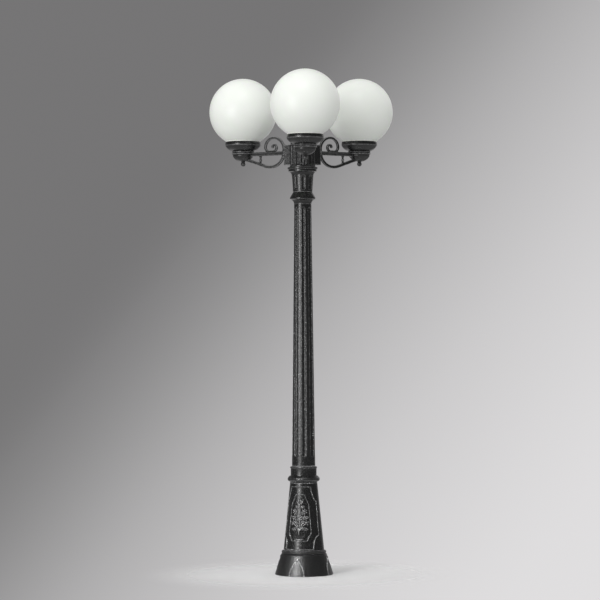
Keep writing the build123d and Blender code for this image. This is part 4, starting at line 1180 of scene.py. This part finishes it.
# Globe holders
# Spun aluminium dishes that stand on the arms' bosses, each with a plain rolled rim, a beaded foot
# and a ledge inside for the bayonet ring. Painted black with the rest.
holder_low, holder_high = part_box("holder_1")
holder_base, holder_rim = holder_low.z, holder_high.z
holder_radius = 0.0795
holder_wall = 0.0035
holder_inside = holder_radius - holder_wall
holder_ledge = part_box("bayonet_ring_1")[0].z
holder_waist = boss_waist
stem_hole = 0.0052
holder = turned(
    "holder_dish",
    [
        (stem_hole, holder_base + 0.006, 0.0003),
        (stem_hole, holder_base, 0.0003),
        (holder_waist, holder_base, 0.0005),
        (holder_waist, holder_base + 0.001, 0),
        *round_arc(boss_bead - bead_radius, holder_base + 0.0035, bead_radius, -75, 75, 10),
        (holder_waist, holder_base + 0.0066, 0.0012),
        *round_arc(0.0348, holder_rim + 0.0063, 0.0500, -75.2, -26.6, 14),
        (holder_radius, holder_rim - 0.0085, 0.006),
        (holder_radius - 0.0022, holder_rim, 0.0015),
        (holder_inside, holder_rim, 0.0006),
        (holder_inside, holder_ledge, 0.0003),
        (holder_inside - 0.006, holder_ledge, 0.0003),
        (holder_inside - 0.006, holder_rim - 0.0235, 0.002),
        (holder_waist - 0.0035, holder_base + 0.0095, 0.004),
        (holder_waist - 0.0035, holder_base + 0.006, 0.002),
    ],
    144,
    (arm_reach, 0),
)
set_round_the_hub(holder, "holder_dish", casting_black, "black_casting", "holder")

# Finials and stem nuts
# A turned ball under each boss. Its hollow stem passes up through boss and holder, where a brass
# nut clamps them, and carries the lampholder and its leads.
finial_low, finial_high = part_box("finial_1")
finial_ball = 0.0105
stem_bore = 0.003
stem_radius = 0.005
finial_neck = boss_foot
finial_centre = finial_low.z + finial_ball
finial = turned(
    "finial_ball",
    [
        (stem_bore, finial_high.z, 0.0003),
        (stem_bore, finial_neck, 0),
        (0, finial_neck, 0),
        *round_arc(0, finial_centre, finial_ball, -90, 42, 18),
        (0.0074, finial_neck - 0.003, 0.001),
        (0.0092, finial_neck - 0.0015, 0.0008),
        (0.0090, finial_neck, 0.0004),
        (stem_radius, finial_neck, 0.0003),
        (stem_radius, finial_high.z, 0.0003),
    ],
    64,
    (arm_reach, 0),
)
set_round_the_hub(finial, "finial_ball", casting_black, "black_casting", "finial")

brass_bright = clouded_metal(
    "brass_bright", 120.0, (0.55, 0.38, 0.14), (0.78, 0.60, 0.28), shiny=0.22, dull=0.40
)
finished(brass_bright, "stem_nuts", "bulb_cap_1", "bulb_cap_2", "bulb_cap_3")

# Bayonet rings
# Pressed steel rings, zinc plated, screwed down on the holders' ledges. The globes' lugs drop
# through their notches and turn under them.
finished(zinc_steel, "bayonet_ring_1", "bayonet_ring_2", "bayonet_ring_3", "ring_screws")

# Globe gaskets
# White silicone rings between the holders' rims and the globes, which keep out rain and insects
# and show as a thin pale line.
seal_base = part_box("globe_gasket_1")[0].z
seal_radius = holder_radius - 0.0018
silicone_white = clouded(
    "silicone_white", (200.0, 2.0), (0.80, 0.81, 0.76), (0.88, 0.88, 0.85), 0.5
)[0]
seal = turned(
    "globe_seal",
    [
        (holder_inside, seal_base, 0.0003),
        (seal_radius, seal_base, 0.0004),
        (seal_radius, seal_base + 0.0029, 0.0008),
        (holder_inside, seal_base + 0.0020, 0.0004),
    ],
    144,
    (arm_reach, 0),
)
set_round_the_hub(seal, "globe_seal", silicone_white, "white_silicone", "globe_gasket")

# Globes
# Blown opal acrylic, white and glossy with a faint green cast, about 3 mm thick. Each has a short
# neck with three lugs that lock under the bayonet ring when the globe is turned.
globe_low, globe_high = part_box("globe_1")
globe_radius = 0.150
globe_wall = 0.003
globe_centre = globe_high.z - globe_radius
globe_neck = 0.058
lug_tip = 0.064
lug_height = 0.0045
lug_half_angle = radians(10)
neck_angle = degrees(asin(globe_neck / globe_radius)) - 90
inner_radius = globe_radius - globe_wall
inner_neck = globe_neck - globe_wall
inner_angle = degrees(asin(inner_neck / inner_radius)) - 90
shell = turned(
    "globe_shell",
    [
        (inner_neck, globe_low.z, 0.0008),
        (globe_neck, globe_low.z, 0.0008),
        *round_arc(0, globe_centre, globe_radius, neck_angle, 90, 96),
        *round_arc(0, globe_centre, inner_radius, 90, inner_angle, 64),
    ],
    192,
    (arm_reach, 0),
)
lug_base, lug_top = globe_low.z, globe_low.z + lug_height
lug_root = globe_neck - 0.001
lug_section = [(lug_root, lug_base), (lug_tip, lug_base), (lug_tip, lug_top), (lug_root, lug_top)]
whole = bmesh.new()
whole.from_mesh(shell.data)
for place in range(3):
    turns = [2 * pi * place / 3 + lug_half_angle * (step / 3 - 1) for step in range(7)]
    rings = [
        [(arm_reach + radius * cos(turn), radius * sin(turn), up) for radius, up in lug_section]
        for turn in turns
    ]
    lug = lofted("globe_lug", rings)
    whole.from_mesh(lug.data)
    bpy.data.objects.remove(lug)
whole.to_mesh(shell.data)
whole.free()

opal_acrylic, opal, opal_shader, _ = clouded(
    "opal_acrylic", (9.0, 3.0, 0.55), (0.84, 0.870, 0.815), (0.88, 0.900, 0.860), 0.38
)
opal_place = opal.nodes.new("ShaderNodeTexCoord").outputs["Object"]
given(opal_shader, Subsurface_Weight=0.35, Subsurface_Radius=(0.03, 0.035, 0.028))
bumped(opal, opal_shader, noise_in(opal, opal_place, 26.0, 1.0), 0.08, 0.002)
set_round_the_hub(shell, "globe_shell", opal_acrylic, "opal_acrylic", "globe", "globe")

# Lampholders and bulbs
# Glazed ceramic screw lampholders on the stems, each with a round bulb of frosted glass on a brass
# cap. The globes hide them.
ceramic_white = clouded(
    "ceramic_white", (150.0, 3.0), (0.80, 0.79, 0.74), (0.88, 0.87, 0.84), 0.25
)[0]
finished(ceramic_white, "lampholder_1", "lampholder_2", "lampholder_3")

frosted_glass, _, frost_shader, _ = clouded(
    "frosted_glass", (400.0, 2.0), (0.92, 0.92, 0.90), (0.97, 0.97, 0.96), 0.45
)
given(frost_shader, Transmission_Weight=0.8)
finished(frosted_glass, "bulb_1", "bulb_2", "bulb_3")

# Studio
# A pale floor that fades out round the foot, a backdrop that goes from grey to white across the
# frame, a tall soft lamp on the left, a small one above, and a gridded one for the base.
floor_radius = 1.6
floor_shape = bmesh.new()
bmesh.ops.create_circle(floor_shape, cap_ends=True, radius=floor_radius, segments=96)
floor = linked("floor", baked("floor", floor_shape))
floor.location.z = -0.0005
floor_pale, floor_tree, floor_shader = new_material("floor_pale")
given(floor_shader, Base_Color=(0.62, 0.62, 0.62, 1), Roughness=0.9)
floor_place = floor_tree.nodes.new("ShaderNodeTexCoord").outputs["Object"]
floor_reach = floor_tree.nodes.new("ShaderNodeVectorMath")
floor_reach.operation = "LENGTH"
floor_tree.links.new(floor_place, floor_reach.inputs[0])
floor_fade = banded(floor_tree, floor_reach.outputs["Value"], 0.15, 0.75, 1.0, 0.0)
floor_tree.links.new(floor_fade, floor_shader.inputs["Alpha"])
floor.data.materials.append(floor_pale)

world = bpy.data.worlds.new("studio")
world.use_nodes = True
bpy.context.scene.world = world
air = world.node_tree
backdrop_slant = (0.769, -0.040, -0.640)
backdrop_stretch, backdrop_shift = 1.43, 0.143
sky_level, sky_rise, sky_from_front = 0.64, 0.29, -0.12
direction = air.nodes.new("ShaderNodeTexCoord").outputs["Generated"]
slant = air.nodes.new("ShaderNodeVectorMath")
slant.operation = "DOT_PRODUCT"
slant.inputs[1].default_value = backdrop_slant
air.links.new(direction, slant.inputs[0])
greys = air.nodes.new("ShaderNodeValToRGB")
greys.color_ramp.interpolation = "B_SPLINE"
across_frame = sums(
    air, "MULTIPLY_ADD", slant.outputs["Value"], backdrop_stretch, backdrop_shift
)
air.links.new(across_frame, greys.inputs["Fac"])
for place, level in ((0.128, 0.44), (0.212, 0.61), (0.316, 0.76), (0.50, 0.76)):
    greys.color_ramp.elements.new(place).color = (level, 0.985 * level, 0.995 * level, 1)
for end, place, level in ((0, 0.05, 0.18), (-1, 0.86, 0.14)):
    greys.color_ramp.elements[end].position = place
    greys.color_ramp.elements[end].color = (level, 0.985 * level, 0.995 * level, 1)
sides = air.nodes.new("ShaderNodeSeparateXYZ")
air.links.new(direction, sides.inputs[0])
behind = banded(air, sides.outputs["Y"], 0.25, 0.9, 0.0, 1.0)
room = banded(air, sides.outputs["Z"], -0.30, -0.05, 0.0, 1.0)
room_grey = blended(air, room, (0.42, 0.42, 0.42), (0.09, 0.09, 0.09))
studio_grey = blended(air, behind, room_grey, greys.outputs["Color"])
seen = air.nodes.new("ShaderNodeLightPath")
shown = sums(air, "MAXIMUM", seen.outputs["Is Camera Ray"], seen.outputs["Is Glossy Ray"])
shown = sums(air, "MAXIMUM", shown, seen.outputs["Is Transmission Ray"])
backdrop = air.nodes["Background"]
air.links.new(studio_grey, backdrop.inputs["Color"])
lighting = air.nodes.new("ShaderNodeBackground")
given(lighting, Color=(1, 1, 1, 1))
sky = sums(air, "MULTIPLY_ADD", sides.outputs["Z"], sky_rise, sky_level)
sky = sums(air, "MULTIPLY_ADD", sides.outputs["Y"], sky_from_front, sky)
air.links.new(sky, lighting.inputs["Strength"])
choice = air.nodes.new("ShaderNodeMixShader")
air.links.new(shown, choice.inputs["Fac"])
air.links.new(lighting.outputs[0], choice.inputs[1])
air.links.new(backdrop.outputs[0], choice.inputs[2])
air.links.new(choice.outputs[0], air.nodes["World Output"].inputs["Surface"])

lamps = [
    # degrees left of the front and up, metres from the aim, size, watts, aim's height, spread
    ("key_lamp", 42, 4, 6.0, (1.6, 3.2), 108, 1.35, 180),
    ("top_lamp", 8, 58, 5.0, (1.6, 1.6), 34, 1.60, 180),
    ("base_lamp", 36, 28, 4.5, (1.4, 1.6), 3.2, 0.26, 16),
]
for name, left, rise, reach, size, watts, level, spread in lamps:
    light = bpy.data.lights.new(name, "AREA")
    light.shape = "RECTANGLE"
    light.size, light.size_y = size
    light.energy = watts
    light.spread = radians(spread)
    left, rise = radians(left), radians(rise)
    aim = Vector((sin(left) * cos(rise), cos(left) * cos(rise), -sin(rise)))
    stand = linked(name, light)
    stand.location = Vector((0, 0, level)) - reach * aim
    stand.rotation_euler = aim.to_track_quat("-Z", "Y").to_euler()

# Camera
# A long lens about 11 m from the post and level with its middle, two degrees to the left of the
# front and rolled by a trace, fitted to the photo.
camera_reach = 10.96
camera_height = 1.1
camera_turn = radians(-2.17)
camera_roll = radians(-0.2)
lens_pixels = 2487.6
frame_pixels = 600.0
camera = linked("camera", bpy.data.cameras.new("camera"))
camera.data.sensor_width = 36.0
camera.data.lens = lens_pixels / frame_pixels * camera.data.sensor_width
camera.location = (sin(camera_turn) * camera_reach, -cos(camera_turn) * camera_reach, camera_height)
aim_across = -0.0136
aim_up = 1.2066
aim_point = Vector((aim_across * cos(camera_turn), aim_across * sin(camera_turn), aim_up))
camera_aim = (aim_point - camera.location).to_track_quat("-Z", "Y")
camera.rotation_euler = (camera_aim @ Quaternion((0, 0, 1), camera_roll)).to_euler()
bpy.context.scene.camera = camera
bpy.context.scene.view_settings.view_transform = "Standard"

bpy.context.view_layer.update()
